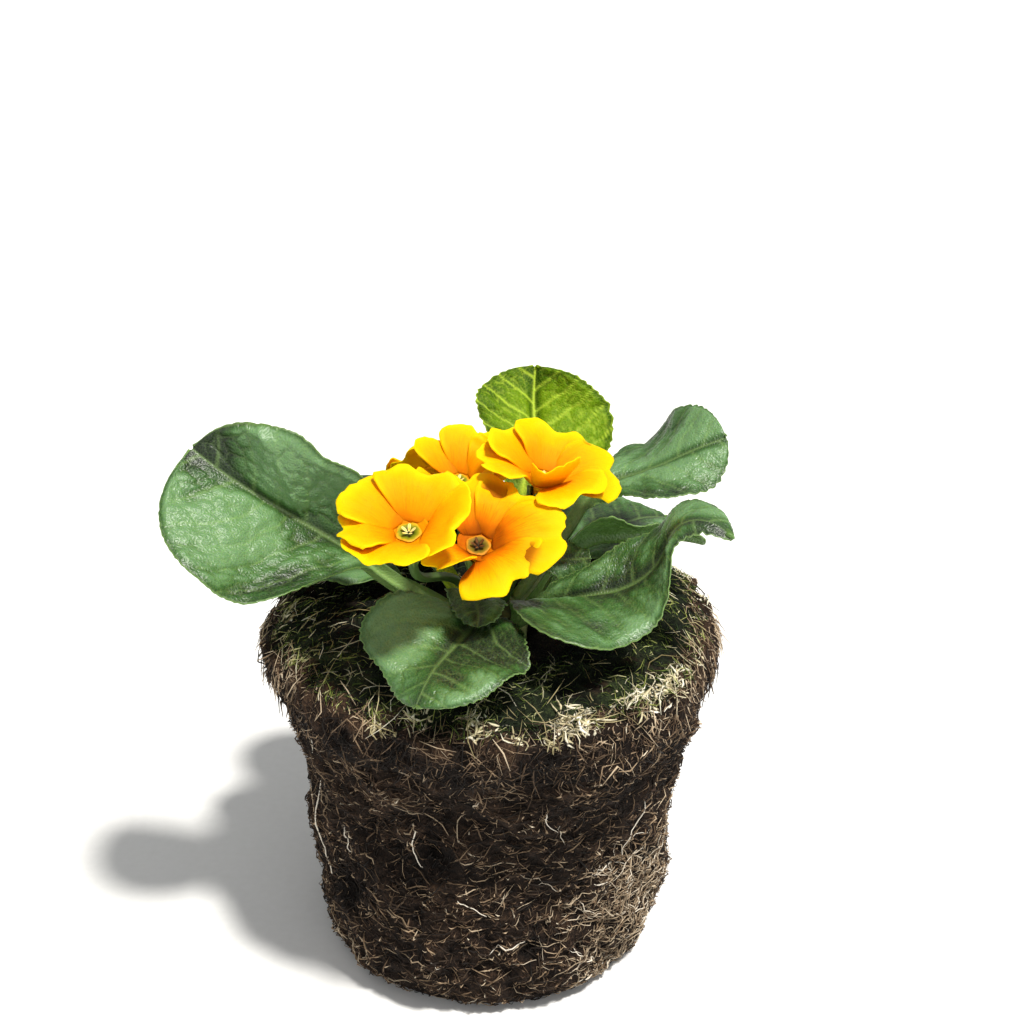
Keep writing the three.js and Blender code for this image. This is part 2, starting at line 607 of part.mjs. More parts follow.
// The calyx and its stalk are one body: a stalk from the crown that opens into a cup with five lobes
// round the tube of the corolla.
function calyxGeometry(flower, placement) {
  const sides = 10;
  const rings = [];
  const back = new THREE.Vector3().setFromMatrixColumn(placement, 2).negate();
  const base = new THREE.Vector3(0, 0, -TUBE_LENGTH - CALYX_LENGTH + 4).applyMatrix4(placement);
  const root = crownPoint(...flower.root);
  const leave = direction(...flower.root);
  const reach = root.distanceTo(base);
  const curve = new THREE.CubicBezierCurve3(
    root,
    root.clone().addScaledVector(leave, reach * 0.45),
    base.clone().addScaledVector(back, reach * 0.3),
    base,
  );
  const across = new THREE.Vector3().setFromMatrixColumn(placement, 0);
  const stalkRings = 7;
  for (let i = 0; i <= stalkRings; i += 1) {
    const tangent = curve.getTangent(i / stalkRings);
    const first = across.clone().addScaledVector(tangent, -across.dot(tangent)).normalize();
    const second = new THREE.Vector3().crossVectors(tangent, first);
    rings.push(roundRing(curve.getPoint(i / stalkRings), first, second, () => FLOWER_STALK_RADIUS, sides));
  }
  const floor = -TUBE_LENGTH - CLEARANCE;
  const lobe = (side) => (side % 2 === 0 ? 1.6 : -0.6);
  const cupRing = (radius, height) => {
    const ring = [];
    for (let side = 0; side < sides; side += 1) {
      const angle = (2 * Math.PI * side) / sides;
      ring.push(new THREE.Vector3(
        radius * Math.cos(angle),
        radius * Math.sin(angle),
        height(side),
      ).applyMatrix4(placement));
    }
    return ring;
  };
  rings.push(cupRing(CALYX_RADIUS - 0.5, () => floor - 2.2));
  rings.push(cupRing(CALYX_RADIUS, () => floor + 0.6));
  rings.push(cupRing(CALYX_RADIUS + 0.1, (side) => floor + 2 + lobe(side)));
  rings.push(cupRing(TUBE_RADIUS + 2 * CLEARANCE, (side) => floor + 1.6 + lobe(side)));
  rings.push(cupRing(TUBE_RADIUS + 2 * CLEARANCE, () => floor));
  return ringGeometry(rings);
}

function roundRing(centre, first, second, radius, sides) {
  const ring = [];
  for (let side = 0; side < sides; side += 1) {
    const angle = (2 * Math.PI * side) / sides;
    ring.push(centre.clone()
      .addScaledVector(first, radius(side) * Math.cos(angle))
      .addScaledVector(second, radius(side) * Math.sin(angle)));
  }
  return ring;
}

function flowerMeshes(flower) {
  const placement = flowerPlacement(flower);
  return [
    namedMesh(`${flower.name}_corolla`, corollaGeometry(flower).applyMatrix4(placement), PETAL_YELLOW),
    namedMesh(`${flower.name}_eye`, eyeGeometry().applyMatrix4(placement), EYE_GREEN),
    namedMesh(`${flower.name}_calyx`, calyxGeometry(flower, placement), CALYX_GREEN),
  ];
}

const group = new THREE.Group();
group.add(rootBall(), mossCollar(), crown());
LEAVES.forEach((leaf) => group.add(leafMesh(leaf)));
FLOWERS.forEach((flower) => group.add(...flowerMeshes(flower)));

export default group;
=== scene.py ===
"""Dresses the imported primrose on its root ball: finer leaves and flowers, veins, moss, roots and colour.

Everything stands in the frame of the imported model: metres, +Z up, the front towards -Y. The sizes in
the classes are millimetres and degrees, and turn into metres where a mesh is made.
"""

import itertools
import logging
import math
from dataclasses import dataclass, field
from enum import Enum

import bmesh
import bpy
import numpy as np
from mathutils import Matrix, Vector


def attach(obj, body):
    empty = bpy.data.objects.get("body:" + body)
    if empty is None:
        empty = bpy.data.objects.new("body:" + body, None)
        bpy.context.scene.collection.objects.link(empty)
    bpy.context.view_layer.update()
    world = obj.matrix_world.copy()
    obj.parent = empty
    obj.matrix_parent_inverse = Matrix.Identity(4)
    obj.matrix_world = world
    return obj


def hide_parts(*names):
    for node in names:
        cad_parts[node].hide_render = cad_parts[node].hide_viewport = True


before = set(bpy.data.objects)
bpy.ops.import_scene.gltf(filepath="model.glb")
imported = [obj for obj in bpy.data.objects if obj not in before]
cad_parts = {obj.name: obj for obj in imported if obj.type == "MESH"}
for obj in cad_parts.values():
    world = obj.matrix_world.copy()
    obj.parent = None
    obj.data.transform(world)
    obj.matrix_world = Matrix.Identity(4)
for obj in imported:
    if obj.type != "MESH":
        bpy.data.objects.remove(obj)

LOG = logging.getLogger("primrose")
MM = 0.001
UP = np.array([0.0, 0.0, 1.0])

CLEARANCE = 0.35
CROWN_RADIUS = 11.0
CROWN_HEIGHT = 94.0
CROWN_DEPTH = 11.0
CROWN_REACH = CROWN_RADIUS + CLEARANCE
STALK_HALF_WIDTH = 2.6
PETAL_ROOT_RADIUS = 3.4
PETAL_ROOT_HALF_WIDTH = 2.5
LATTICE = 32
COPY_GAP = 4

# The stretches of the root ball's outline that are its side and the shoulder under the moss
SIDE = slice(0, 12)
SHOULDER = slice(9, 15)


# Numbers -------------------------------------------------------------------


def eased(low: float, high: float, x: np.ndarray) -> np.ndarray:
    """A smooth step from 0 at low to 1 at high."""
    share = np.clip((x - low) / (high - low), 0.0, 1.0)
    return share * share * (3.0 - 2.0 * share)


def unit(vectors: np.ndarray) -> np.ndarray:
    """The vectors at length one."""
    return vectors / np.maximum(np.linalg.norm(vectors, axis=-1, keepdims=True), 1e-9)


def together(*parts: np.ndarray) -> np.ndarray:
    """Coordinates from one array for each axis."""
    return np.stack(np.broadcast_arrays(*parts), axis=-1)


def around(radius: np.ndarray, angle: np.ndarray, height: np.ndarray) -> np.ndarray:
    """Points at a radius, an angle in radians and a height round the upright axis."""
    return together(radius * np.cos(angle), radius * np.sin(angle), height)


def direction(heading: np.ndarray, elevation: np.ndarray) -> np.ndarray:
    """Unit directions from headings round +Z and elevations, in degrees."""
    turn, rise = np.radians(heading), np.radians(elevation)
    return around(np.cos(rise), turn, np.sin(rise))


def along_curve(values: list[float], x: np.ndarray) -> np.ndarray:
    """A smooth curve through evenly spaced values.

    Args:
        values: The values that the curve passes through.
        x: Where to read it, from 0 at the first value to 1 at the last.

    Returns:
        The value at each x.
    """
    knots = np.asarray(values, dtype=float)
    last = len(knots) - 1
    place = np.clip(x, 0.0, 1.0) * last
    near = np.minimum(np.floor(place).astype(int), last)
    t = place - near
    before, after = knots[np.maximum(near - 1, 0)], knots[np.minimum(near + 1, last)]
    beyond = knots[np.minimum(near + 2, last)]
    here = knots[near]
    leave, arrive = (after - before) / 2, (beyond - here) / 2
    cubic = (2 * here - 2 * after + leave + arrive) * t**3
    square = (-3 * here + 3 * after - 2 * leave - arrive) * t**2
    return cubic + square + leave * t + here


class Mottle:
    """Smooth repeatable noise from -1 to 1 on a wrapped lattice."""

    def __init__(self, seed: int) -> None:
        """Args:
        seed: Which lattice of random values to draw.
        """
        self.lattice = np.random.default_rng(seed).uniform(-1, 1, (LATTICE, LATTICE, LATTICE))

    def at(self, points: np.ndarray, scale: float) -> np.ndarray:
        """The noise at points, with lumps about scale across.

        Args:
            points: An array whose last axis holds two or three coordinates.
            scale: The spacing of the lattice, in the points' own unit.

        Returns:
            One value for each point.
        """
        spots = np.asarray(points, dtype=float) / scale
        if spots.shape[-1] == 2:
            spots = np.concatenate([spots, np.zeros_like(spots[..., :1])], axis=-1)
        low = np.floor(spots).astype(int)
        part = spots - low
        part = part * part * (3 - 2 * part)
        total = np.zeros(spots.shape[:-1])
        for corner in itertools.product((0, 1), repeat=3):
            weight = np.ones_like(total)
            for axis, step in enumerate(corner):
                weight = weight * (part[..., axis] if step else 1 - part[..., axis])
            i, j, k = ((low[..., axis] + corner[axis]) % LATTICE for axis in range(3))
            total += weight * self.lattice[i, j, k]
        return total * 1.6

    def cells(self, spots: np.ndarray) -> np.ndarray:
        """How far inside a cell each flat spot is, from 0 on the line between two cells.

        Args:
            spots: Flat places, in cells; the last axis holds two coordinates.

        Returns:
            The distance to the line between the two nearest cells.
        """
        low = np.floor(spots).astype(int)
        first = np.full(spots.shape[:-1], 9.0)
        second = first.copy()
        for step in itertools.product((-1, 0, 1), repeat=2):
            cell = low + np.array(step)
            i, j = cell[..., 0] % LATTICE, cell[..., 1] % LATTICE
            middle = cell + 0.5 + 0.42 * self.lattice[i, j, :2]
            distance = np.linalg.norm(spots - middle, axis=-1)
            second = np.minimum(second, np.maximum(first, distance))
            first = np.minimum(first, distance)
        return second - first


def grid_normals(grid: np.ndarray) -> np.ndarray:
    """The unit normals of a grid of points.

    Args:
        grid: Points as rows by columns, whose columns run from right to left.

    Returns:
        One normal for each point.
    """
    along = np.gradient(grid, axis=-3)
    across = np.gradient(grid, axis=-2)
    return unit(np.cross(along, across))


# Meshes --------------------------------------------------------------------


class Skin:
    """A closed mesh under construction: where each vertex belongs, and what it will be."""

    def __init__(self, bm: bmesh.types.BMesh, copies: int = 1) -> None:
        """Args:
        bm: The unshaped mesh that an operator made, narrower than COPY_GAP along Y.
        copies: How many times the mesh stands in a row.
        """
        bmesh.ops.recalc_face_normals(bm, faces=bm.faces[:])
        made = 1
        while made < copies:
            take = min(made, copies - made)
            end = COPY_GAP * take - COPY_GAP / 2
            verts = [v for v in bm.verts if v.co.y < end]
            edges = [e for e in bm.edges if e.verts[0].co.y < end]
            faces = [f for f in bm.faces if f.verts[0].co.y < end]
            fresh = bmesh.ops.duplicate(bm, geom=verts + edges + faces)["geom"]
            moved = [item for item in fresh if isinstance(item, bmesh.types.BMVert)]
            bmesh.ops.translate(bm, verts=moved, vec=(0, COPY_GAP * made, 0))
            made += take
        self.mesh = bpy.data.meshes.new("skin")
        bm.to_mesh(self.mesh)
        bm.free()
        flat = np.empty(len(self.mesh.vertices) * 3, dtype=np.float32)
        self.mesh.vertices.foreach_get("co", flat)
        self.flat = flat.reshape(-1, 3).astype(float)
        self.copy = np.rint(self.flat[:, 1] / COPY_GAP).astype(int) if copies > 1 else 0
        self.flat[:, 1] -= COPY_GAP * self.copy

    def place(self, points: np.ndarray) -> None:
        """Moves every vertex to its place, given in millimetres."""
        self.mesh.vertices.foreach_set("co", (points * MM).astype(np.float32).ravel())

    def paint(self, name: str, values: np.ndarray) -> None:
        """Stores one number for each vertex under a name that materials can read."""
        layer = self.mesh.attributes.new(name, "FLOAT", "POINT")
        layer.data.foreach_set("value", values.astype(np.float32).ravel())

    def unwrap(self, spots: np.ndarray) -> None:
        """Stores the piece's UV map.

        Args:
            spots: A flat place for each vertex.
        """
        corners = np.empty(len(self.mesh.loops), dtype=np.int32)
        self.mesh.loops.foreach_get("vertex_index", corners)
        layer = self.mesh.uv_layers.new(name="UVMap")
        layer.data.foreach_set("uv", spots[corners].astype(np.float32).ravel())


class Sheet(Skin):
    """A closed sheet with an upper and an under face over a grid of rows and columns."""

    def __init__(self, rows: int, columns: int, copies: int = 1) -> None:
        """Args:
        rows: How many rows of vertices run along it.
        columns: How many vertices run across it, from right to left.
        copies: How many sheets there are.
        """
        bm = bmesh.new()
        bmesh.ops.create_grid(bm, x_segments=columns - 1, y_segments=rows - 1, size=1)
        bmesh.ops.solidify(bm, geom=bm.faces[:], thickness=0.5)
        super().__init__(bm, copies)
        self.column = np.rint((self.flat[:, 0] + 1) / 2 * (columns - 1)).astype(int)
        self.row = np.rint((self.flat[:, 1] + 1) / 2 * (rows - 1)).astype(int)
        middle = (self.flat[:, 2].min() + self.flat[:, 2].max()) / 2
        self.under = self.flat[:, 2] < middle

    def shape(self, upper: np.ndarray, lower: np.ndarray) -> None:
        """Lays the two faces on grids of points, in millimetres, as copies by rows by columns by three."""
        at = (self.copy, self.row, self.column)
        self.place(np.where(self.under[:, None], lower[at], upper[at]))

    def read(self, grid: np.ndarray) -> np.ndarray:
        """The value of a grid at every vertex."""
        return grid[self.copy, self.row, self.column]


class Tubes(Skin):
    """Closed tubes, all with the same number of rings and sides, in one mesh."""

    def __init__(self, rings: int, sides: int, copies: int = 1) -> None:
        """Args:
        rings: How many rings of vertices each tube has.
        sides: How many vertices each ring has.
        copies: How many tubes there are.
        """
        bm = bmesh.new()
        bmesh.ops.create_cone(bm, cap_ends=True, segments=sides, radius1=1, radius2=1, depth=rings - 1)
        upright = [e for e in bm.edges if abs(e.verts[0].co.z - e.verts[1].co.z) > 0.5]
        bmesh.ops.subdivide_edges(bm, edges=upright, cuts=rings - 2, use_grid_fill=True)
        super().__init__(bm, copies)
        turn = np.arctan2(self.flat[:, 1], self.flat[:, 0]) - math.pi / 2
        self.side = np.rint(turn / (2 * math.pi) * sides).astype(int) % sides
        self.ring = np.rint(self.flat[:, 2] + (rings - 1) / 2).astype(int)
        self.turn = 2 * np.pi * self.side / sides

    def follow(self, paths: np.ndarray, radii: np.ndarray, lean: np.ndarray, flat: float = 1.0) -> None:
        """Lays each tube along its path.

        Args:
            paths: Points in millimetres, as copies by rings by three.
            radii: The radius at each ring, as copies by rings.
            lean: A direction for each copy that its first side turns to, as copies by three.
            flat: How thick a tube is towards the lean, as a share of its width.
        """
        tangent = unit(np.gradient(paths, axis=1))
        lean = np.broadcast_to(lean[:, None, :], paths.shape)
        first = unit(lean - tangent * np.sum(lean * tangent, axis=-1, keepdims=True))
        second = np.cross(tangent, first)
        at = (self.copy, self.ring)
        up = first[at] * (np.cos(self.turn) * flat)[:, None]
        out = second[at] * np.sin(self.turn)[:, None]
        self.place(paths[at] + (up + out) * radii[at][:, None])


class Globe(Skin):
    """A closed skin with a pole at each end, for shapes turned round an axis."""

    def __init__(self, rings: int, sides: int, copies: int = 1) -> None:
        """Args:
        rings: How many steps lead from the top pole to the bottom pole.
        sides: How many vertices each ring has.
        copies: How many globes there are.
        """
        bm = bmesh.new()
        bmesh.ops.create_uvsphere(bm, u_segments=sides, v_segments=rings, radius=1)
        super().__init__(bm, copies)
        x, y, z = self.flat.T
        self.turn = np.arctan2(y, x)
        self.share = np.rint(np.arccos(np.clip(z, -1, 1)) / math.pi * rings) / rings

    def turned(self, outline: list[tuple[float, float]]) -> tuple[np.ndarray, np.ndarray]:
        """The radius and height at each vertex of a body turned from an outline.

        Args:
            outline: Radii and heights from the top pole to the bottom pole, evenly shared out.

        Returns:
            The radii and the heights.
        """
        radii, heights = np.array(outline, dtype=float).T
        places = np.linspace(0, 1, len(outline))
        return np.interp(self.share, places, radii), np.interp(self.share, places, heights)


class Ring(Skin):
    """A closed ring of closed sections round the upright axis."""

    def __init__(self, sections: int, sides: int) -> None:
        """Args:
        sections: How many sections stand round the axis.
        sides: How many vertices each section has.
        """
        bm = bmesh.new()
        circle = bmesh.ops.create_circle(bm, cap_ends=False, segments=sides, radius=0.5)["verts"]
        bmesh.ops.rotate(bm, verts=circle, matrix=Matrix.Rotation(math.pi / 2, 3, "X"))
        bmesh.ops.translate(bm, verts=circle, vec=(1, 0, 0))
        bmesh.ops.spin(
            bm, geom=bm.verts[:] + bm.edges[:], cent=(0, 0, 0), axis=(0, 0, 1), dvec=(0, 0, 0),
            angle=2 * math.pi, steps=sections, use_merge=True,
        )
        super().__init__(bm)
        x, y, z = self.flat.T
        self.turn = np.arctan2(y, x)
        share = np.arctan2(z, np.hypot(x, y) - 1) / (2 * math.pi)
        self.share = np.rint(share * sides) % sides / sides


def joined(name: str, skins: list[Skin]) -> bpy.types.Mesh:
    """One mesh that holds all the skins, with their attributes.

    Args:
        name: The mesh's name.
        skins: The meshes to join, which are used up.

    Returns:
        The joined mesh.
    """
    if len(skins) == 1:
        skins[0].mesh.name = name
        return skins[0].mesh
    bm = bmesh.new()
    for skin in skins:
        bm.from_mesh(skin.mesh)
    mesh = bpy.data.meshes.new(name)
    bm.to_mesh(mesh)
    bm.free()
    for skin in skins:
        bpy.data.meshes.remove(skin.mesh)
    return mesh


def piece(name: str, skins: list[Skin], material: bpy.types.Material, nodes: list[str]) -> None:
    """Makes an object of the skins, dresses it and hands it to the frame.

    Args:
        name: The piece's name.
        skins: The closed meshes that it is made of.
        material: Its finish.
        nodes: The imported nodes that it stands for; none for a piece that is added.
    """
    mesh = joined(name, skins)
    mesh.polygons.foreach_set("use_smooth", np.ones(len(mesh.polygons), dtype=bool))
    mesh.materials.clear()
    mesh.materials.append(material)
    made = bpy.data.objects.new(name, mesh)
    bpy.context.scene.collection.objects.link(made)
    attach(made, "root")
    if nodes:
        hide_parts(*nodes)
    triangles = sum(len(p.vertices) - 2 for p in mesh.polygons)
    LOG.info("%s: %d triangles", name, triangles)


# Finishes ------------------------------------------------------------------


def colour(red: float, green: float, blue: float) -> tuple[float, float, float, float]:
    """A colour as the eye names it, in the linear light that shaders use.

    Args:
        red: From 0 to 255.
        green: From 0 to 255.
        blue: From 0 to 255.

    Returns:
        Its channels from 0 to 1, and 1 for a solid colour.
    """

    def linear(channel: float) -> float:
        """One channel in linear light."""
        share = channel / 255
        return share / 12.92 if share <= 0.04045 else ((share + 0.055) / 1.055) ** 2.4

    return (linear(red), linear(green), linear(blue), 1.0)


def shades(*rows: tuple[float, float, float, float]) -> tuple[tuple[float, tuple], ...]:
    """Stops of a ramp, from rows of a place and a colour's red, green and blue."""
    return tuple((place, colour(*channels)) for place, *channels in rows)


class Paint:
    """A tree of shader nodes under construction, in a material or in a group."""

    def __init__(self, tree: bpy.types.NodeTree) -> None:
        """Args:
        tree: The node tree to build in.
        """
        self.tree = tree

    def node(self, kind: str, inputs: dict | None = None, **settings: object) -> bpy.types.Node:
        """Adds a node.

        Args:
            kind: The node's type name.
            inputs: What goes into its sockets, by name or number: another socket or a plain value.
            **settings: Its own properties.

        Returns:
            The node.
        """
        made = self.tree.nodes.new(kind)
        for key, value in settings.items():
            setattr(made, key, value)
        for key, value in (inputs or {}).items():
            self.feed(made.inputs[key], value)
        return made

    def feed(self, socket: bpy.types.NodeSocket, value: object) -> None:
        """Links a socket into another one, or sets it to a plain value.

        Args:
            socket: The socket to feed.
            value: Another socket, or the value.
        """
        if isinstance(value, bpy.types.NodeSocket):
            self.tree.links.new(value, socket)
        else:
            socket.default_value = value

    def attribute(self, name: str) -> bpy.types.NodeSocket:
        """The number that the mesh stores under a name."""
        return self.node("ShaderNodeAttribute", attribute_name=name).outputs["Fac"]

    def places(self) -> bpy.types.NodeSocket:
        """Places on the object, in metres."""
        return self.node("ShaderNodeTexCoord").outputs["Object"]

    def flat_places(self) -> bpy.types.NodeSocket:
        """Places on the piece's UV map."""
        return self.node("ShaderNodeTexCoord").outputs["UV"]

    def stretched(self, vector: bpy.types.NodeSocket, scale: tuple) -> bpy.types.NodeSocket:
        """Places stretched by a scale for each axis."""
        return self.node("ShaderNodeMapping", {"Vector": vector, "Scale": scale}).outputs[0]

    def noise(self, vector: object, scale: object, detail: float = 3, rough: float = 0.55) -> object:
        """Soft noise from 0 to 1."""
        inputs = {"Vector": vector, "Scale": scale, "Detail": detail, "Roughness": rough}
        return self.node("ShaderNodeTexNoise", inputs).outputs["Fac"]

    def maths(self, operation: str, *values: object) -> bpy.types.NodeSocket:
        """One sum on numbers."""
        return self.node("ShaderNodeMath", dict(enumerate(values)), operation=operation).outputs[0]

    def times(self, first: object, second: object) -> bpy.types.NodeSocket:
        """Two numbers multiplied."""
        return self.maths("MULTIPLY", first, second)

    def effect(self, tree: bpy.types.NodeTree, vector: object, scale: float) -> object:
        """The outputs of a shared group at places and a scale."""
        return self.node("ShaderNodeGroup", {"Vector": vector, "Scale": scale}, node_tree=tree).outputs

    def swing(self, value: object, amount: float) -> bpy.types.NodeSocket:
        """A value from 0 to 1, turned into one that swings round 0 by an amount."""
        return self.times(self.maths("SUBTRACT", value, 0.5), amount)

    def dress(self, shader: bpy.types.Node, inputs: dict[str, object]) -> None:
        """Feeds the inputs of a shader by their names."""
        for name, value in inputs.items():
            self.feed(shader.inputs[name], value)

    def between(self, value: object, low: float, high: float) -> bpy.types.NodeSocket:
        """A value turned smoothly into 0 to 1.

        Args:
            value: The value.
            low: Where it becomes 0.
            high: Where it becomes 1.

        Returns:
            The result.
        """
        made = self.node(
            "ShaderNodeMapRange", {"Value": value, "From Min": low, "From Max": high},
            interpolation_type="SMOOTHSTEP",
        )
        return made.outputs[0]

    def mix(self, share: object, first: object, second: object) -> bpy.types.NodeSocket:
        """The first colour, turned into the second by a share.

        Args:
            share: How much of the second, from 0 to 1.
            first: The first colour.
            second: The second colour.

        Returns:
            The mixed colour.
        """
        made = self.node("ShaderNodeMix", data_type="RGBA")
        for index, value in ((0, share), (6, first), (7, second)):
            self.feed(made.inputs[index], value)
        return made.outputs[2]

    def ramp(self, value: object, stops: list[tuple[float, tuple]]) -> bpy.types.NodeSocket:
        """A colour that runs through stops as the value rises.

        Args:
            value: Where along the ramp, from 0 to 1.
            stops: Places with their colours.

        Returns:
            The colour.
        """
        made = self.node("ShaderNodeValToRGB", {"Fac": value})
        elements = made.color_ramp.elements
        while len(elements) < len(stops):
            elements.new(0.5)
        for element, (position, shade) in zip(elements, stops):
            element.position = position
            element.color = shade
        return made.outputs["Color"]

    def bump(self, height: object, strength: float, distance: float) -> bpy.types.NodeSocket:
        """A normal that follows a height, which rises by distance in millimetres from 0 to 1."""
        inputs = {"Height": height, "Strength": strength, "Distance": distance * MM}
        return self.node("ShaderNodeBump", inputs).outputs["Normal"]


def new_material(name: str) -> tuple[bpy.types.Material, Paint, bpy.types.Node]:
    """A fresh material.

    Args:
        name: Its name.

    Returns:
        The material, the paint for its tree, and its shader node.
    """
    made = bpy.data.materials.new(name)
    made.use_nodes = True
    return made, Paint(made.node_tree), made.node_tree.nodes["Principled BSDF"]


class Effects:
    """The shader groups that several materials share, each built once."""

    made: dict[str, bpy.types.NodeTree] = {}

    @classmethod
    def group(cls, name: str, inputs: dict[str, str], outputs: dict[str, str]) -> bpy.types.NodeTree:
        """An empty group with sockets.

        Args:
            name: Its name.
            inputs: The type of each input by its name.
            outputs: The type of each output by its name.

        Returns:
            The group.
        """
        tree = bpy.data.node_groups.new(name, "ShaderNodeTree")
        for label, kind in inputs.items():
            tree.interface.new_socket(label, in_out="INPUT", socket_type=kind)
        for label, kind in outputs.items():
            tree.interface.new_socket(label, in_out="OUTPUT", socket_type=kind)
        cls.made[name] = tree
        return tree

    @classmethod
    def grain(cls) -> bpy.types.NodeTree:
        """Fine grain on broad patches.

        Returns:
            The group, which gives a broad and a fine value at each place.
        """
        if "grain" in cls.made:
            return cls.made["grain"]
        tree = cls.group(
            "grain", {"Vector": "NodeSocketVector", "Scale": "NodeSocketFloat"},
            {"Broad": "NodeSocketFloat", "Fine": "NodeSocketFloat"},
        )
        paint = Paint(tree)
        given = tree.nodes.new("NodeGroupInput").outputs
        result = tree.nodes.new("NodeGroupOutput").inputs
        broad = paint.noise(given["Vector"], given["Scale"], 3, 0.5)
        fine = paint.noise(given["Vector"], paint.maths("MULTIPLY", given["Scale"], 9.0), 4, 0.6)
        paint.feed(result["Broad"], paint.between(broad, 0.3, 0.7))
        paint.feed(result["Fine"], fine)
        return tree

    @classmethod
    def net(cls) -> bpy.types.NodeTree:
        """The finest mesh of leaf veins.

        Returns:
            The group, which gives 1 on a vein, and the swelling between veins.
        """
        if "vein_net" in cls.made:
            return cls.made["vein_net"]
        tree = cls.group(
            "vein_net", {"Vector": "NodeSocketVector", "Scale": "NodeSocketFloat"},
            {"Vein": "NodeSocketFloat", "Pillow": "NodeSocketFloat"},
        )
        paint = Paint(tree)
        given = tree.nodes.new("NodeGroupInput").outputs
        result = tree.nodes.new("NodeGroupOutput").inputs
        shift = paint.node("ShaderNodeTexNoise", {"Vector": given["Vector"], "Scale": given["Scale"]})
        warped = paint.node(
            "ShaderNodeVectorMath", {0: shift.outputs["Color"], 1: (0.006, 0.006, 0.0)}, operation="MULTIPLY"
        )
        moved = paint.node(
            "ShaderNodeVectorMath", {0: given["Vector"], 1: warped.outputs[0]}, operation="ADD"
        )
        cells = paint.node(
            "ShaderNodeTexVoronoi", {"Vector": moved.outputs[0], "Scale": given["Scale"]},
            feature="DISTANCE_TO_EDGE", voronoi_dimensions="2D",
        ).outputs["Distance"]
        near = paint.between(cells, 0.0, 0.16)
        paint.feed(result["Vein"], paint.maths("SUBTRACT", 1.0, near))
        paint.feed(result["Pillow"], paint.between(cells, 0.0, 0.45))
        return tree


@dataclass(frozen=True)
class LeafFinish:
    """The skin of a leaf: dark or bright, with paler veins, a paler underside, and painted light and shade.
    """

    name: str
    slot: str
    # deep is the leaf's painted shade, lit its green in light, and pale its painted sheen.
    deep: tuple
    lit: tuple
    pale: tuple
    vein: tuple
    under: tuple
    vein_share: float
    net_share: float
    roughness: float
    glow: float
    gloss: float

    def material(self) -> bpy.types.Material:
        """Builds the material.

        Returns:
            The material, which reads tone (painted light and shade), vein, under, edge and stem from the
            mesh.
        """
        made, paint, shader = new_material(self.name)
        spots = paint.flat_places()
        grain = paint.effect(Effects.grain(), spots, 9.0)
        net = paint.effect(Effects.net(), spots, 110.0)
        stipple = paint.swing(paint.noise(spots, 420.0, 3, 0.6), 0.55)
        patches = paint.swing(grain["Broad"], -0.14)
        # The tone from the mesh is painted light and shade; stipple and broad patches vary it at random, and
        # the ramp runs from painted shade through the lit green to a painted sheen.
        tone = paint.maths("ADD", paint.attribute("tone"), paint.maths("ADD", stipple, patches))
        base = paint.ramp(tone, [(0.0, self.deep), (0.5, self.lit), (1.0, self.pale)])
        for mask, share, shade in (
            (net["Vein"], self.net_share, self.vein),
            (paint.attribute("vein"), self.vein_share, self.vein),
            (paint.attribute("under"), 0.75, self.under), (paint.attribute("edge"), 0.55, self.vein),
            (paint.attribute("stem"), 0.8, self.vein),
        ):
            base = paint.mix(paint.times(mask, share), base, shade)
        height = paint.maths("MULTIPLY_ADD", grain["Fine"], 0.5, net["Pillow"])
        paint.dress(shader, {
            "Base Color": base,
            "Roughness": paint.maths("MULTIPLY_ADD", grain["Fine"], 0.3, self.roughness - 0.12),
            "Specular IOR Level": self.gloss,
            "Subsurface Weight": self.glow,
            "Subsurface Radius": (0.5, 1.0, 0.15),
            "Subsurface Scale": 0.8 * MM,
            "Normal": paint.bump(height, 0.7, 0.11),
        })
        return made


@dataclass(frozen=True)
class PetalFinish:
    """The velvet of a petal: orange at the throat, golden and then lemon towards its edge, with painted
    shadow where a neighbour lies over it.
    """

    name: str
    stops: tuple
    streak: tuple
    under: tuple
    rim: tuple

    def material(self) -> bpy.types.Material:
        """Builds the material.

        Returns:
            The material, which reads along, under, edge and the painted shadow of an overlapping neighbour
            from the mesh.
        """
        made, paint, shader = new_material(self.name)
        spots = paint.flat_places()
        along = paint.attribute("along")
        streaks = paint.noise(paint.stretched(spots, (34.0, 2.2, 1.0)), 1.0, 4, 0.6)
        patches = paint.noise(paint.places(), 160.0, 2, 0.5)
        base = paint.ramp(paint.maths("ADD", along, paint.swing(patches, 0.35)), list(self.stops))
        fade = paint.maths("SUBTRACT", 1.0, paint.between(along, 0.1, 0.95))
        streaky = paint.times(paint.between(streaks, 0.5, 0.68), paint.times(fade, 0.9))
        base = paint.mix(streaky, base, self.streak)
        # The last mask paints the shadow of an overlapping neighbour in the darkest orange.
        for name, share, shade in (
            ("under", 0.7, self.under), ("edge", 0.6, self.rim), ("overlap_shadow", 0.8, self.stops[0][1]),
        ):
            base = paint.mix(paint.times(paint.attribute(name), share), base, shade)
        paint.dress(shader, {
            "Base Color": base,
            "Roughness": 0.62,
            "Specular IOR Level": 0.06,
            "Subsurface Weight": 0.3,
            "Subsurface Radius": (1.0, 0.6, 0.08),
            "Subsurface Scale": 1.0 * MM,
            "Normal": paint.bump(streaks, 0.35, 0.2),
        })
        return made


@dataclass(frozen=True)
class StemFinish:
    """A soft skin for stalks, calyces and the crown, with another shade on ribs, lumps and tips."""

    name: str
    body: tuple
    tip: tuple
    roughness: float

    def material(self) -> bpy.types.Material:
        """Builds the material.

        Returns:
            The material, which reads tip from the mesh.
        """
        made, paint, shader = new_material(self.name)
        grain = paint.effect(Effects.grain(), paint.places(), 260.0)
        paint.dress(shader, {
            "Base Color": paint.mix(paint.attribute("tip"), self.body, self.tip),
            "Roughness": self.roughness,
            "Normal": paint.bump(grain["Fine"], 0.4, 0.2),
        })
        return made


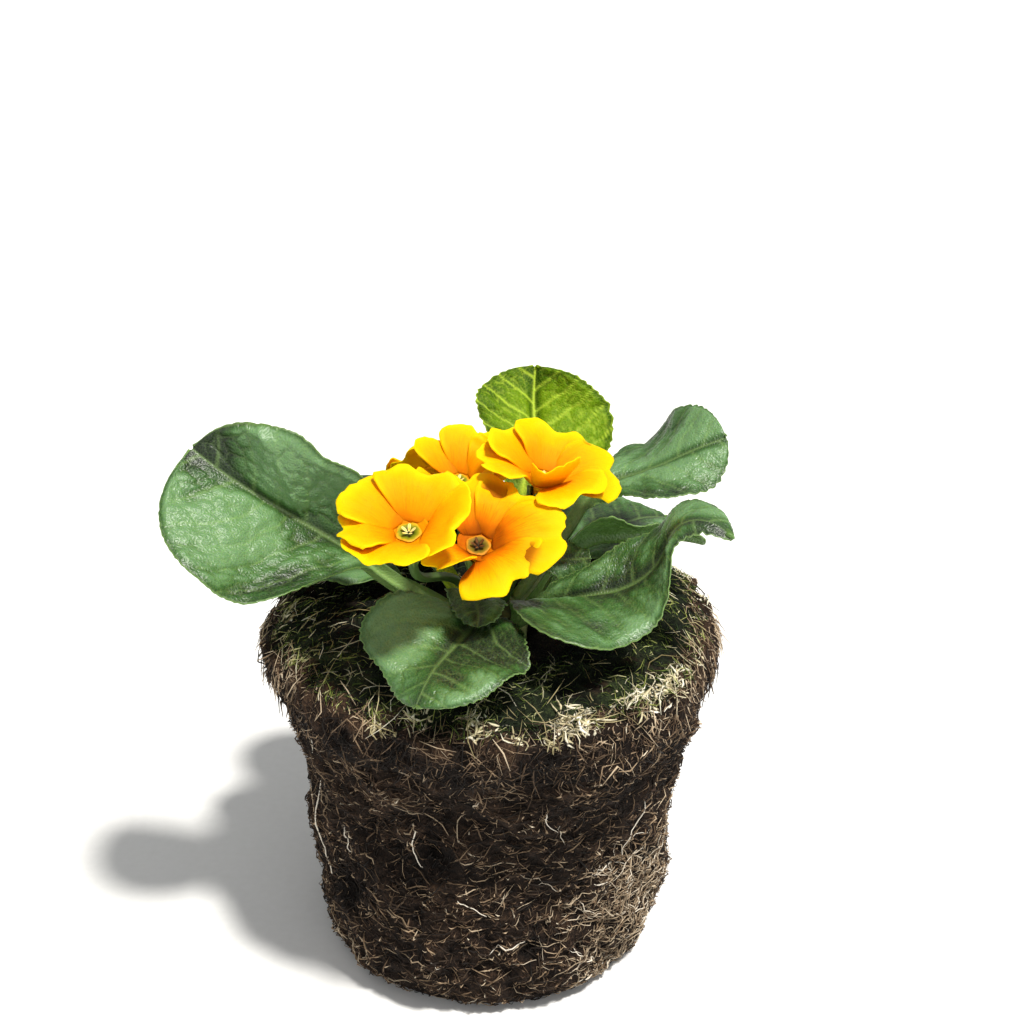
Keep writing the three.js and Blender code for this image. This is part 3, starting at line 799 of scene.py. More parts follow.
@dataclass(frozen=True)
class EarthFinish:
    """Crumbly ground: shades that follow how far a crumb stands out, painted darker in the hollows as shade,
    bare or grown over with green.
    """

    name: str
    stops: tuple
    green_stops: tuple
    scale: float

    def material(self) -> bpy.types.Material:
        """Builds the material.

        Returns:
            The material, which reads relief and green from the mesh.
        """
        made, paint, shader = new_material(self.name)
        grain = paint.effect(Effects.grain(), paint.places(), self.scale)
        # Painted shade: hollows darker, crumbs and tufts that stand out lighter.
        relief = paint.times(paint.attribute("relief"), 0.36)
        shade = paint.maths("MULTIPLY_ADD", grain["Fine"], 0.8, relief)
        share = paint.maths("ADD", paint.attribute("green"), paint.swing(grain["Broad"], 0.5))
        bare, grown = (paint.ramp(shade, list(stops)) for stops in (self.stops, self.green_stops))
        paint.dress(shader, {
            "Base Color": paint.mix(paint.between(share, 0.3, 0.7), bare, grown),
            "Roughness": 0.95,
            "Specular IOR Level": 0.2,
            "Normal": paint.bump(grain["Fine"], 1.0, 1.1),
        })
        return made


@dataclass(frozen=True)
class StrandFinish:
    """Fibres, roots, moss and straw: each strand has its own tint along a row of shades."""

    name: str
    stops: tuple
    roughness: float

    def material(self) -> bpy.types.Material:
        """Builds the material.

        Returns:
            The material, which reads tint from the mesh.
        """
        made, paint, shader = new_material(self.name)
        mottled = paint.noise(paint.places(), 900.0, 2, 0.5)
        tint = paint.maths("ADD", paint.attribute("tint"), paint.swing(mottled, 0.3))
        paint.dress(shader, {
            "Base Color": paint.ramp(tint, list(self.stops)),
            "Roughness": self.roughness,
            "Specular IOR Level": 0.3,
        })
        return made


def known(finish: object) -> bpy.types.Material:
    """The material of a finish, made on first use."""
    return bpy.data.materials.get(finish.name) or finish.material()


LEAF_DARK = LeafFinish(
    "leaf_green_skin", "leaf_green", colour(10, 30, 6), colour(48, 88, 30), colour(100, 138, 88),
    colour(134, 168, 92), colour(84, 122, 52), 0.42, 0.12, 0.4, 0.2, 0.58,
)
LEAF_BRIGHT = LeafFinish(
    "young_leaf_skin", "young_leaf_green", colour(32, 62, 0), colour(64, 96, 0), colour(100, 132, 2),
    colour(180, 204, 60), colour(132, 164, 24), 1.0, 0.14, 0.55, 0.3, 0.12,
)


class LeafKind(Enum):
    """The two finishes that a leaf can have."""

    DARK = LEAF_DARK
    BRIGHT = LEAF_BRIGHT


PETAL_FRESH = PetalFinish(
    "petal_velvet",
    shades(
        (0.0, 206, 118, 0), (0.14, 236, 146, 0), (0.42, 243, 162, 0),
        (0.75, 246, 178, 0), (1.0, 249, 192, 0),
    ),
    colour(232, 132, 0), colour(240, 178, 0), colour(255, 222, 10),
)
PETAL_AGED = PetalFinish(
    "petal_velvet_aged",
    shades(
        (0.0, 136, 64, 0), (0.16, 208, 112, 0), (0.36, 234, 148, 0),
        (0.72, 244, 176, 0), (1.0, 249, 192, 0),
    ),
    colour(196, 94, 0), colour(234, 160, 0), colour(250, 206, 10),
)
EYE_FRESH = StrandFinish(
    "eye_skin",
    shades(
        (0.0, 56, 70, 2), (0.3, 104, 116, 2), (0.5, 152, 146, 0),
        (0.65, 222, 164, 0), (0.85, 236, 214, 96), (1.0, 250, 238, 176),
    ),
    0.6,
)
EYE_AGED = StrandFinish(
    "eye_skin_aged",
    shades(
        (0.0, 44, 30, 4), (0.3, 96, 84, 2), (0.5, 140, 110, 0),
        (0.65, 212, 136, 0), (0.8, 110, 70, 26), (1.0, 72, 42, 18),
    ),
    0.65,
)
STALK_SKIN = StemFinish("stalk_skin", colour(64, 92, 34), colour(140, 164, 70), 0.6)
CROWN_SKIN = StemFinish("crown_skin", colour(52, 60, 24), colour(120, 130, 70), 0.8)
BARE = shades(
    (0.0, 5, 4, 3), (0.4, 16, 11, 8), (0.6, 38, 28, 21),
    (0.8, 72, 54, 40), (1.0, 118, 94, 70),
)
GROWN = shades(
    (0.0, 4, 6, 4), (0.42, 12, 16, 10), (0.64, 28, 36, 21),
    (0.84, 64, 74, 42), (1.0, 130, 134, 88),
)
PEAT = EarthFinish("peat_crumb", BARE, GROWN, 150.0)
MOSS = EarthFinish("moss_ground", BARE, GROWN, 170.0)
FIBRE = StrandFinish(
    "peat_fibre",
    shades(
        (0.0, 18, 14, 10), (0.25, 44, 34, 26), (0.5, 96, 77, 58),
        (0.75, 160, 136, 108), (1.0, 216, 196, 166),
    ),
    0.75,
)
BITS = StrandFinish(
    "peat_bits",
    shades(
        (0.0, 28, 21, 16), (0.35, 72, 54, 41), (0.6, 130, 106, 82),
        (0.85, 192, 168, 138), (1.0, 234, 220, 194),
    ),
    0.6,
)
ROOT = StrandFinish(
    "pale_root",
    shades((0.0, 128, 108, 84), (0.5, 186, 168, 142), (1.0, 238, 230, 214)), 0.6,
)
MOSS_STRAND = StrandFinish(
    "moss_strand",
    shades(
        (0.0, 8, 12, 7), (0.3, 22, 32, 17), (0.52, 46, 64, 28),
        (0.72, 96, 114, 44), (0.88, 158, 166, 86), (1.0, 214, 210, 156),
    ),
    0.75,
)
CREAM = StrandFinish(
    "cream_scrap",
    shades((0.0, 150, 138, 98), (0.4, 214, 202, 164), (1.0, 252, 247, 230)), 0.6,
)
STRAW = StrandFinish(
    "straw",
    shades((0.0, 132, 118, 78), (0.4, 186, 172, 126), (1.0, 244, 238, 214)), 0.6,
)


# Leaves --------------------------------------------------------------------


@dataclass
class Leaf:
    """One leaf: a winged stalk that widens into a blade with sunken veins and a toothed margin.

    Headings and elevations are in degrees at the root of the stalk, the base of the blade, a third,
    two thirds and the tip. Half widths are at the base and the quarters of the blade.
    """

    name: str
    kind: LeafKind
    stalk: float
    blade: float
    heading: list[float]
    elevation: list[float]
    left: list[float]
    right: list[float]
    roll: list[float]
    fold_left: tuple[float, float]
    fold_right: tuple[float, float]
    curl_left: float
    curl_right: float
    wave: float
    pitch: float = 0.9
    tooth: float = 0.45
    pucker: float = 0.5
    vein_gap: float = 8.5
    seed: int = 0
    thickness: float = 0.5
    ridge: tuple[float, float, float] = (0.0, 1.0, 0.0)
    # Spots of painted light and shade, as along, across, spread and amount: above 0 a painted sheen, below 0
    # a painted shadow.
    painted_light_spots: list[tuple[float, float, float, float]] = field(default_factory=list)

    def midrib(self, u: np.ndarray) -> tuple[np.ndarray, np.ndarray, np.ndarray]:
        """The midrib.

        Args:
            u: Places along it, from 0 at the root to 1 at the tip.

        Returns:
            Its points, its headings and its elevations.
        """
        total = self.stalk + self.blade
        base = self.stalk / total
        places = [0, base, base + (1 - base) / 3, base + 2 * (1 - base) / 3, 1]
        steps = 240
        middle = (np.arange(steps) + 0.5) / steps
        heading, elevation = (np.interp(middle, places, keys) for keys in (self.heading, self.elevation))
        ways = direction(heading, elevation)
        start = direction(self.heading[0], self.elevation[0]) * CROWN_REACH + UP * CROWN_HEIGHT
        points = np.vstack([start, start + np.cumsum(ways * total / steps, axis=0)])
        at = np.linspace(0, 1, steps + 1)
        centre = np.stack([np.interp(u, at, points[:, axis]) for axis in range(3)], axis=-1)
        return centre, np.interp(u, places, self.heading), np.interp(u, places, self.elevation)

    def half_width(self, keys: list[float], v: np.ndarray, stalk_share: np.ndarray) -> np.ndarray:
        """The half width of one side.

        Args:
            keys: The half widths of that side at the base and the quarters of the blade.
            v: Places along the blade, below 0 on the stalk.
            stalk_share: Places along the stalk, up to 1 at the base of the blade.

        Returns:
            The half width at each place.
        """
        beyond = np.clip((v - 0.6) / 0.4, 0, 1)
        on_blade = np.maximum(0.7, along_curve([*keys, keys[-1]], v) * np.sqrt(1 - beyond**2))
        on_stalk = STALK_HALF_WIDTH + (keys[0] - STALK_HALF_WIDTH) * stalk_share**2
        return np.where(v > 0, on_blade, on_stalk)

    def build(self) -> None:
        """Builds the leaf and dresses it."""
        total = self.stalk + self.blade
        base = self.stalk / total
        stalk_rows = max(4, round(self.stalk / self.pitch / 1.6))
        blade_rows = round(self.blade / self.pitch)
        on_stalk = base * np.arange(stalk_rows) / stalk_rows
        on_blade = base + (1 - base) * (1 - (1 - np.arange(blade_rows + 1) / blade_rows) ** 1.3)
        u = np.concatenate([on_stalk, on_blade])
        v = (u - base) / (1 - base)
        stalk_share = np.minimum(1, u / base)
        columns = max(13, round((max(self.left) + max(self.right)) / self.pitch) | 1)
        across = np.linspace(-1, 1, columns)
        share = np.abs(across)[None, :]
        is_left = across > 0

        centre, heading, elevation = self.midrib(u)
        forward = direction(heading, elevation)
        level = unit(np.cross(UP, forward))
        rolled = np.radians(stalk_share * np.interp(v, [0, 0.5, 1], self.roll))[:, None]
        sideways = level * np.cos(rolled) + np.cross(forward, level) * np.sin(rolled)
        raised = np.cross(forward, sideways)

        wide = [self.half_width(keys, v, stalk_share)[:, None] for keys in (self.right, self.left)]
        width = np.where(is_left, wide[1], wide[0])
        along = np.clip(v, 0, 1)[:, None]
        folds = [first + (last - first) * along for first, last in (self.fold_right, self.fold_left)]
        fold = np.where(is_left, folds[1], folds[0])
        curl = np.where(is_left, self.curl_left, self.curl_right)
        lean = np.radians(stalk_share[:, None] * (fold + curl * share / 2))
        fade = np.clip(8 * v, 0, 1)[:, None] * np.minimum(1, 4 * (1 - along))
        phase = np.where(is_left, 0, 1.6)
        ripple = self.wave * share**3 * np.sin(6 * math.pi * along + phase) * fade
        out = np.sign(across) * share * width * np.cos(lean)
        lift = share * width * np.sin(lean) + ripple
        grid = centre[:, None] + sideways[:, None] * out[..., None] + raised[:, None] * lift[..., None]

        place = (u * total)[:, None] + 0 * share
        reach = share * width
        grid = self.toothed(grid, place, width, share, across, fade)
        relief, vein = self.veins(place, reach, across, width, v)
        relief = relief + self.crest(along, share) * fade * (~is_left)
        grid = grid + grid_normals(grid) * relief[..., None]
        normals = grid_normals(grid)
        rib = (2 - 1.6 * u)[:, None] * np.exp(-((reach / 1.7) ** 2))
        rim = eased(0.0, 1.5, width - reach)
        depth = self.thickness * (0.55 + 0.45 * rim) + rib
        lower = grid - normals * depth[..., None]

        sheet = Sheet(len(u), columns)
        sheet.shape(grid[None], lower[None])
        sheet.paint("under", sheet.under.astype(float))
        masks = {
            "vein": vein,
            "tone": self.tone(relief, along, across[None, :]),
            "edge": (1 - eased(0.0, 0.5, width - reach)) * eased(0.0, 0.1, v)[:, None],
            "stem": (1 - eased(-0.05, 0.22, v))[:, None] * np.exp(-((reach / 3.5) ** 2)),
        }
        for mask, values in masks.items():
            sheet.paint(mask, sheet.read(values[None]))
        flat = np.stack([across[None, :] * width, place], axis=-1) / 100 + self.seed * 0.37
        sheet.unwrap(sheet.read(flat[None]))
        finish = self.kind.value
        piece(self.name, [sheet], known(finish), [self.name.removesuffix("_blade")])

    def tone(self, relief: np.ndarray, along: np.ndarray, across: np.ndarray) -> np.ndarray:
        """How light the leaf is painted: sunken parts and the hollow by the crest get painted shade, and
        each listed spot paints a patch of sheen or of cast shadow onto it.

        Args:
            relief: How far each point stands out, in millimetres.
            along: Places along the blade.
            across: Places across the leaf, from -1 at the right margin to 1 at the left one.

        Returns:
            The tone at each point, from 0 to 1.
        """
        # Painted shade: sunken parts of the relief and the hollow by the crest are darker.
        tone = 0.24 + 0.5 * relief / max(self.pucker, 0.3)
        tone = tone - self.shade(along, np.abs(across)) * (across <= 0)
        for spot, side, spread, amount in self.painted_light_spots:
            gap = ((along - spot) / spread) ** 2 + ((across - side) / (1.4 * spread)) ** 2
            tone = tone + amount * np.exp(-gap)
        return np.clip(tone, 0, 1)

    def toothed(
        self, grid: np.ndarray, place: np.ndarray, width: np.ndarray, share: np.ndarray,
        across: np.ndarray, fade: np.ndarray,
    ) -> np.ndarray:
        """The grid with its margins drawn out into uneven teeth.

        Args:
            grid: The points of the smooth blade.
            place: How far each point is from the root, in millimetres; not used.
            width: The half width at each point.
            share: How far across its half each point is.
            across: The same, signed, with the left half above 0.
            fade: 0 on the stalk and at the very tip.

        Returns:
            The points of the toothed blade.
        """
        mottle = Mottle(300 + self.seed)
        normals = grid_normals(grid)
        moved = grid.copy()
        for column, sign in ((0, 1.0), (-1, -1.0)):
            rim = grid[:, column]
            run = np.concatenate([[0], np.cumsum(np.linalg.norm(np.diff(rim, axis=0), axis=1))])
            wander = mottle.at(np.stack([run, run * 0 + 7.3 * sign], axis=-1), 9.0)
            beat = run / 2.6 + 0.7 * wander
            saw = 1 - np.abs(2 * (beat % 1.0) - 1) ** 1.6
            small = 0.4 * mottle.at(np.stack([run, run * 0 + 3.1 * sign], axis=-1), 0.9)
            height = self.tooth * (saw * 1.5 - 0.6 + small)
            outward = unit(np.cross(np.gradient(rim, axis=0), normals[:, column])) * sign
            half = (across < 0) if column == 0 else (across > 0)
            pull = np.exp(-(((1 - share) * width / 1.3) ** 2)) * half * np.clip(fade * 3, 0, 1)
            moved += pull[..., None] * (outward * height[:, None])[:, None, :]
        return moved

    def veins(
        self, place: np.ndarray, reach: np.ndarray, across: np.ndarray, width: np.ndarray, v: np.ndarray
    ) -> tuple[np.ndarray, np.ndarray]:
        """The relief that the veins give a blade.

        Args:
            place: How far each point is from the root, in millimetres.
            reach: How far each point is from the midrib, in millimetres.
            across: Which half a point is on: the left one is above 0.
            width: The half width at each point.
            v: Where each row is on the blade.

        Returns:
            How far each point stands out, in millimetres, and how much of a vein it is, from 0 to 1.
        """
        mottle = Mottle(100 + self.seed)
        side = np.where(across > 0, 1.0, -1.0)[None, :]
        spots = np.stack([place + 0 * reach, reach * side], axis=-1)
        wander = mottle.at(spots, 17.0) * 0.16 + mottle.at(spots, 5.0) * 0.05
        swept = place - 0.5 * reach - 0.011 * reach**2
        phase = swept / self.vein_gap + np.where(side > 0, 0.5, 0.0) + wander
        gap = np.abs(phase - np.rint(phase)) * self.vein_gap * 0.8
        thin = 0.4 - 0.2 * reach / np.maximum(width, 6)
        main = np.exp(-((gap / thin) ** 2))
        cells = mottle.cells(np.stack([phase * 2.6, reach / 3.4 + side * 40], axis=-1))
        small = mottle.cells(np.stack([phase * 6.5 + 9, reach / 1.35 + side * 40], axis=-1))
        rib = np.exp(-((reach / (0.85 - 0.6 * np.clip(v, 0, 1)[:, None])) ** 2))
        blade = eased(0.0, 0.12, v)[:, None] * eased(0.0, 2.5, width - reach)
        body = blade * (1 - np.exp(-((reach / 2.5) ** 2)))
        swell = 0.75 * (1 - np.exp(-((gap / 2.4) ** 2)))
        relief = body * self.pucker * (swell + 0.6 * eased(0.0, 0.4, cells) + 0.22 * eased(0, 0.4, small))
        relief += body * (0.45 * mottle.at(spots, 6.5) + 0.9 * mottle.at(spots, 16.0)) * self.pucker
        channel = 0.5 * np.exp(-((reach / 1.3) ** 2)) * (1 - 0.6 * np.clip(v, 0, 1)[:, None])
        vein = np.maximum(rib, 0.85 * main * eased(0.0, 0.1, v)[:, None])
        vein = np.maximum(vein, 0.42 * (1 - eased(0.02, 0.14, cells)) * body)
        return relief - channel, vein

    def crest(self, along: np.ndarray, share: np.ndarray) -> np.ndarray:
        """A crest along one strong vein of the right half, so that the blade folds there.

        Args:
            along: Places along the blade.
            share: Places across the half.

        Returns:
            How far the crest lifts the blade, in millimetres.
        """
        start, spread, height = self.ridge
        line = np.clip((along - start) / spread, 0.02, 1)
        inside = share / line
        outside = (1 - share) / np.maximum(1 - line, 0.05)
        tent = np.minimum(inside, outside)
        return height * np.clip(tent, 0, 1) * np.minimum(1, 2.5 * line) * (along > start)

    def shade(self, along: np.ndarray, share: np.ndarray) -> np.ndarray:
        """How much painted shade darkens the hollow between the midrib and the crest.

        Args:
            along: Places along the blade.
            share: Places across the half.

        Returns:
            The loss of tone at each point, from 0 to 0.6.
        """
        start, spread, height = self.ridge
        line = np.clip((along - start) / spread, 0.02, 1.6)
        return 0.6 * (1 - eased(0.86, 1.04, share / line)) * (along > start) * min(1.0, height)


# Flowers -------------------------------------------------------------------


@dataclass(frozen=True)
class Petal:
    """One petal: where it points in the flower, in degrees, its sizes and how it bends.

    The curl bends its outer part up, and the roll turns both of its edges up, in millimetres.
    """

    angle: float
    length: float
    half_width: float
    lift: float = 0.0
    curl: float = 0.0
    roll: float = 0.0
    notch: float = 2.1

    def spread(self, share: np.ndarray) -> np.ndarray:
        """The half width at shares of the way along the petal."""
        swell = np.sin(math.pi / 2 * share**0.9)
        return PETAL_ROOT_HALF_WIDTH + (self.half_width - PETAL_ROOT_HALF_WIDTH) * swell


@dataclass
class Flower:
    """One flower: corolla, eye, and calyx with its stalk."""

    name: str
    centre: tuple[float, float, float]
    facing: tuple[float, float]
    cup: float
    root: tuple[float, float]
    petals: list[Petal]
    aged: bool = False
    seed: int = 0
    petal_rows: int = 31
    petal_columns: int = 29
    thickness: float = 0.4
    tube_length: float = 6.0
    calyx_length: float = 10.0
    stalk_radius: float = 1.2

    def placed(self, points: np.ndarray) -> np.ndarray:
        """Points moved from the flower's own frame, which faces +Z with +Y upwards.

        Args:
            points: Points in the bloom's frame.

        Returns:
            The same points on the plant.
        """
        facing = direction(*self.facing)
        across = unit(np.cross(UP, facing))
        upward = np.cross(facing, across)
        return points @ np.stack([across, upward, facing]) + np.array(self.centre)

    def overlap_shadow(self, petal: Petal, radius: np.ndarray, side: np.ndarray) -> np.ndarray:
        """Painted shadow on a petal's face: how close it is to the edge of the neighbour that lies over it.

        Args:
            petal: The petal.
            radius: How far out each point is along the petal.
            side: How far to its side each point is.

        Returns:
            1 under the neighbour and at its edge, falling to 0 away from it.
        """
        turns = [((petal.angle - other.angle) % 360 or 360, other) for other in self.petals]
        gap, other = min(turns, key=lambda turn: turn[0])
        away = np.hypot(radius, side)
        share = np.clip((0.9 * away - PETAL_ROOT_RADIUS) / (other.length - PETAL_ROOT_RADIUS), 0, 1)
        width = other.spread(share)
        edge = np.arctan2(width, 0.9 * away) - math.radians(gap)
        beyond = np.maximum(0, (np.arctan2(side, radius) - edge) * away)
        return np.exp(-beyond / 0.9) * (1 - eased(0.8 * other.length, other.length, away))

    def petal_grids(self) -> tuple[np.ndarray, np.ndarray, np.ndarray, np.ndarray]:
        """The upper faces of the petals.

        Returns:
            Their points in the flower's frame as petals by rows by columns, the share along each petal,
            the flat places for streaks, and how near each point is to a neighbour over it, as painted
            shadow.
        """
        mottle = Mottle(700 + self.seed)
        s = np.linspace(0, 1, self.petal_rows)[:, None]
        t = np.linspace(-1, 1, self.petal_columns)[None, :]
        grids, shares, flats, overlap_shadows = [], [], [], []
        for number, petal in enumerate(self.petals):
            spots = together(s * 12 + 40 * number, t * 9)
            rim = together(t * 9 + 70 * number, 0)
            notch = petal.notch * np.exp(-((t / 0.24) ** 2))
            ragged = 0.7 * mottle.at(rim, 3.4) + 0.24 * mottle.at(rim, 1.1)
            reach = petal.length * (1 - 0.34 * np.abs(t) ** 2.6) - notch * s + ragged * s**2
            radius = PETAL_ROOT_RADIUS + s * (reach - PETAL_ROOT_RADIUS)
            width = petal.spread(s) + 0.35 * mottle.at(together(s * 14 + 30 * number, np.sign(t) * 5), 4.0)
            rise = self.cup * (0.5 * s - 0.28 * s**2) * petal.length + petal.lift * s
            rise = rise + petal.curl * np.clip((s - 0.45) / 0.55, 0, 1) ** 2 + petal.roll * t**2 * s
            overlap = 1.5 * t * np.sin(math.pi * np.minimum(0.5, s))
            fold = -0.35 * np.exp(-((t / 0.14) ** 2)) * (s * (1 - 0.35 * s))
            ruffle = (0.9 * mottle.at(spots, 5.5) + 0.34 * mottle.at(spots, 2.4)) * s**1.4
            ribs = 0.05 * np.cos(t * 26) * np.sin(math.pi * np.minimum(1, s * 1.1))
            points = together(radius, t * width, rise + overlap + fold + ruffle + ribs)
            turn = math.radians(petal.angle)
            grids.append(points @ np.array(Matrix.Rotation(-turn, 3, "Z")))
            shares.append(s + 0 * t)
            overlap_shadows.append(self.overlap_shadow(petal, radius, t * width))
            spread = np.degrees(np.arctan2(t * width, radius + 2)) / 40
            flats.append(together(spread + 3 * number + 0.7 * self.seed, s))
        return np.array(grids), np.array(shares), np.array(flats), np.array(overlap_shadows)

    def corolla(self) -> None:
        """Builds the five petals and the tube that they spring from."""
        upper, shares, flats, overlap_shadows = self.petal_grids()
        rim = np.minimum(1, 3 * (1 - shares)) * 0.5 + 0.5
        lower = upper - grid_normals(upper) * (self.thickness * rim)[..., None]
        petals = Sheet(self.petal_rows, self.petal_columns, len(self.petals))
        petals.shape(self.placed(upper), self.placed(lower))
        petals.paint("along", petals.read(shares))
        petals.paint("under", petals.under.astype(float))
        sides = np.abs(np.linspace(-1, 1, self.petal_columns)) ** 14
        petals.paint("edge", petals.read(np.maximum(sides * eased(0.15, 0.5, shares), shares**9)))
        # Painted shadow where a neighbour's edge lies over the petal.
        petals.paint("overlap_shadow", petals.read(overlap_shadows))
        petals.unwrap(petals.read(flats))

        throat = Globe(24, 30)
        radius, height = throat.turned(
            [(0, -0.9), (1.6, -0.9), (2.6, -0.6), (3.3, -0.1), (4.3, 0.25), (5.6, 0.95), (5.4, 0.4),
             (3.6, -0.9), (2.0, -2.4), (1.7, -4.4), (1.7, -6), (0, -6)]
        )
        pentagon = 1 + 0.04 * np.cos(5 * throat.turn)
        spots = around(radius * pentagon, throat.turn, height)
        throat.place(self.placed(spots))
        throat.paint("along", np.where(height > -2, 0.12, 0.6))
        for mask in ("under", "edge", "overlap_shadow"):
            throat.paint(mask, np.zeros(len(height)))
        throat.unwrap(np.stack([throat.turn * 2, height / 10], axis=-1))
        finish = PETAL_AGED if self.aged else PETAL_FRESH
        node = f"{self.name}_corolla"
        piece(node, [petals, throat], known(finish), [node])

    def eye(self) -> None:
        """Builds the ring round the mouth of the tube and the five anthers in it."""
        ring = Globe(20, 40)
        radius, height = ring.turned(
            [(0, -0.5), (0.9, -0.45), (1.35, -0.15), (1.9, 0.1), (2.5, 0.26), (3.0, 0.24), (3.3, 0.1),
             (2.9, -0.1), (2.1, -0.4), (0, -0.6)]
        )
        lobes = 1 + 0.05 * np.cos(5 * ring.turn) * np.minimum(1, radius)
        rough = 0.05 * np.sin(23 * ring.turn) * (radius > 1.4)
        spots = around(radius * lobes, ring.turn, height + rough)
        ring.place(self.placed(spots))
        tint = np.interp(np.hypot(spots[:, 0], spots[:, 1]), [0.9, 1.7, 2.5, 3.1], [0.0, 0.3, 0.48, 0.66])
        ring.paint("tint", tint)

        anthers = Globe(8, 10, 5)
        turn = 2 * math.pi * np.arange(5) / 5 + 0.3 * (self.seed % 4)
        turn = turn[anthers.copy]
        body = anthers.flat * np.array([1.05, 0.42, 0.34])
        body[:, 2] -= 0.12 * np.cos(anthers.flat[:, 1] * math.pi)
        tilt = math.radians(38)
        out = 1.15 + body[:, 0] * math.cos(tilt) + body[:, 2] * math.sin(tilt)
        high = 0.72 + body[:, 0] * math.sin(tilt) + body[:, 2] * math.cos(tilt)
        spots = around(out, turn, high) + around(body[:, 1], turn + math.pi / 2, 0)
        anthers.place(self.placed(spots))
        anthers.paint("tint", np.full(len(spots), 0.95) - 0.15 * (np.abs(anthers.flat[:, 1]) < 0.25))
        node = f"{self.name}_eye"
        piece(node, [ring, anthers], known(EYE_AGED if self.aged else EYE_FRESH), [node])

    def calyx(self) -> None:
        """Builds the stalk and the ribbed, five-lobed cup at its head."""
        sides, stalk_rings = 30, 34
        facing = direction(*self.facing)
        base = self.placed(np.array([0, 0, -self.tube_length - self.calyx_length + 4]))
        leave = direction(*self.root)
        root = leave * CROWN_REACH + UP * CROWN_HEIGHT
        reach = np.linalg.norm(base - root)
        knots = [root, root + leave * reach * 0.45, base - facing * reach * 0.3, base]
        x = np.linspace(0, 1, stalk_rings + 1)[:, None]
        path = sum(math.comb(3, k) * (1 - x) ** (3 - k) * x**k * knots[k] for k in range(4))
        tangent = unit(np.gradient(path, axis=0))
        across = unit(np.cross(UP, facing))
        first = unit(across - tangent * (tangent @ across)[:, None])
        second = np.cross(tangent, first)
        turn = 2 * math.pi * np.arange(sides) / sides
        ridge = 1 + 0.07 * np.cos(5 * turn)
        outward = first[:, None] * np.cos(turn)[:, None] + second[:, None] * np.sin(turn)[:, None]
        stalk = path[:, None] + outward * (self.stalk_radius * ridge)[:, None]
        floor = -self.tube_length - CLEARANCE
        point = np.abs(np.cos(2.5 * turn)) ** 1.6
        lobe = 2.6 * point - 0.9
        rib = 1 + 0.1 * np.cos(10 * turn)
        rings = [
            (1.9, -3.4, 0.0), (2.5, -2.4, 0.0), (2.9, -1.0, 0.0), (3.05, 0.4, 0.0), (3.1, 1.4, 0.35),
            (3.2, 1.9, 0.8), (3.15, 2.0, 1.0), (2.75, 1.9, 1.0), (2.5, 1.4, 0.6), (2.4, 0.6, 0.0),
            (2.4, 0.0, 0.0),
        ]
        cups = []
        for number, (radius, height, share) in enumerate(rings):
            shape = radius * (rib if number < 6 else 1)
            flare = 1 + 0.1 * share * point
            cups.append(around(shape * flare, turn, floor + height + share * lobe))
        grid = np.concatenate([stalk, self.placed(np.array(cups))])
        tube = Tubes(len(grid), sides)
        tube.place(grid[tube.ring, tube.side])
        tips = np.concatenate([np.zeros((len(stalk), sides)), [share * point for _, _, share in rings]])
        ribs = np.concatenate([np.zeros((len(stalk), sides)), [0.7 * (rib - 0.95) / 0.15 for _ in rings]])
        tube.paint("tip", np.clip(np.maximum(tips, ribs), 0, 1)[tube.ring, tube.side])
        node = f"{self.name}_calyx"
        piece(node, [tube], known(STALK_SKIN), [node])

    def build(self) -> None:
        """Builds the whole flower."""
        self.corolla()
        self.eye()
        self.calyx()


# Root ball, moss and crown -------------------------------------------------


@dataclass(frozen=True)
class Litter:
    """Loose strands of one kind: their number, sizes in millimetres, and how they lie."""

    name: str
    finish: StrandFinish
    slot: str
    count: int
    lengths: tuple[float, float]
    radii: tuple[float, float]
    zone: tuple[float, float]
    seed: int
    stand: float = 0.5
    curl: float = 0.3
    flat: float = 1.0
    rings: int = 4
    gathered: float = 0.0
    clumps: int = 0

    def drawn_lengths(self, rng: np.random.Generator, bias: float) -> np.ndarray:
        """A random length for each strand; a larger bias makes more of them short."""
        low, high = self.lengths
        return rng.uniform(0, 1, self.count) ** bias * (high - low) + low

    def taper(self) -> np.ndarray:
        """The share of its full thickness that a strand has at each ring."""
        step = np.linspace(-1, 1, self.rings)
        return 1 - 0.6 * np.abs(step) ** 2.5

    def piece(
        self, paths: np.ndarray, lean: np.ndarray, tints: np.ndarray, rng: np.random.Generator
    ) -> None:
        """Makes one piece of all the strands.

        Args:
            paths: Points in millimetres, as strands by rings by three.
            lean: The way out of the ground at each strand.
            tints: Where each strand is in the finish's row of shades.
            rng: The stream of random numbers.
        """
        low, high = self.radii
        thick = (low + (high - low) * rng.uniform(0, 1, self.count) ** 2)[:, None] * self.taper()[None, :]
        tubes = Tubes(self.rings, 3, self.count)
        tubes.follow(paths, thick, lean, self.flat)
        tubes.paint("tint", np.clip(tints, 0, 1)[tubes.copy])
        piece(self.name, [tubes], known(self.finish), [])


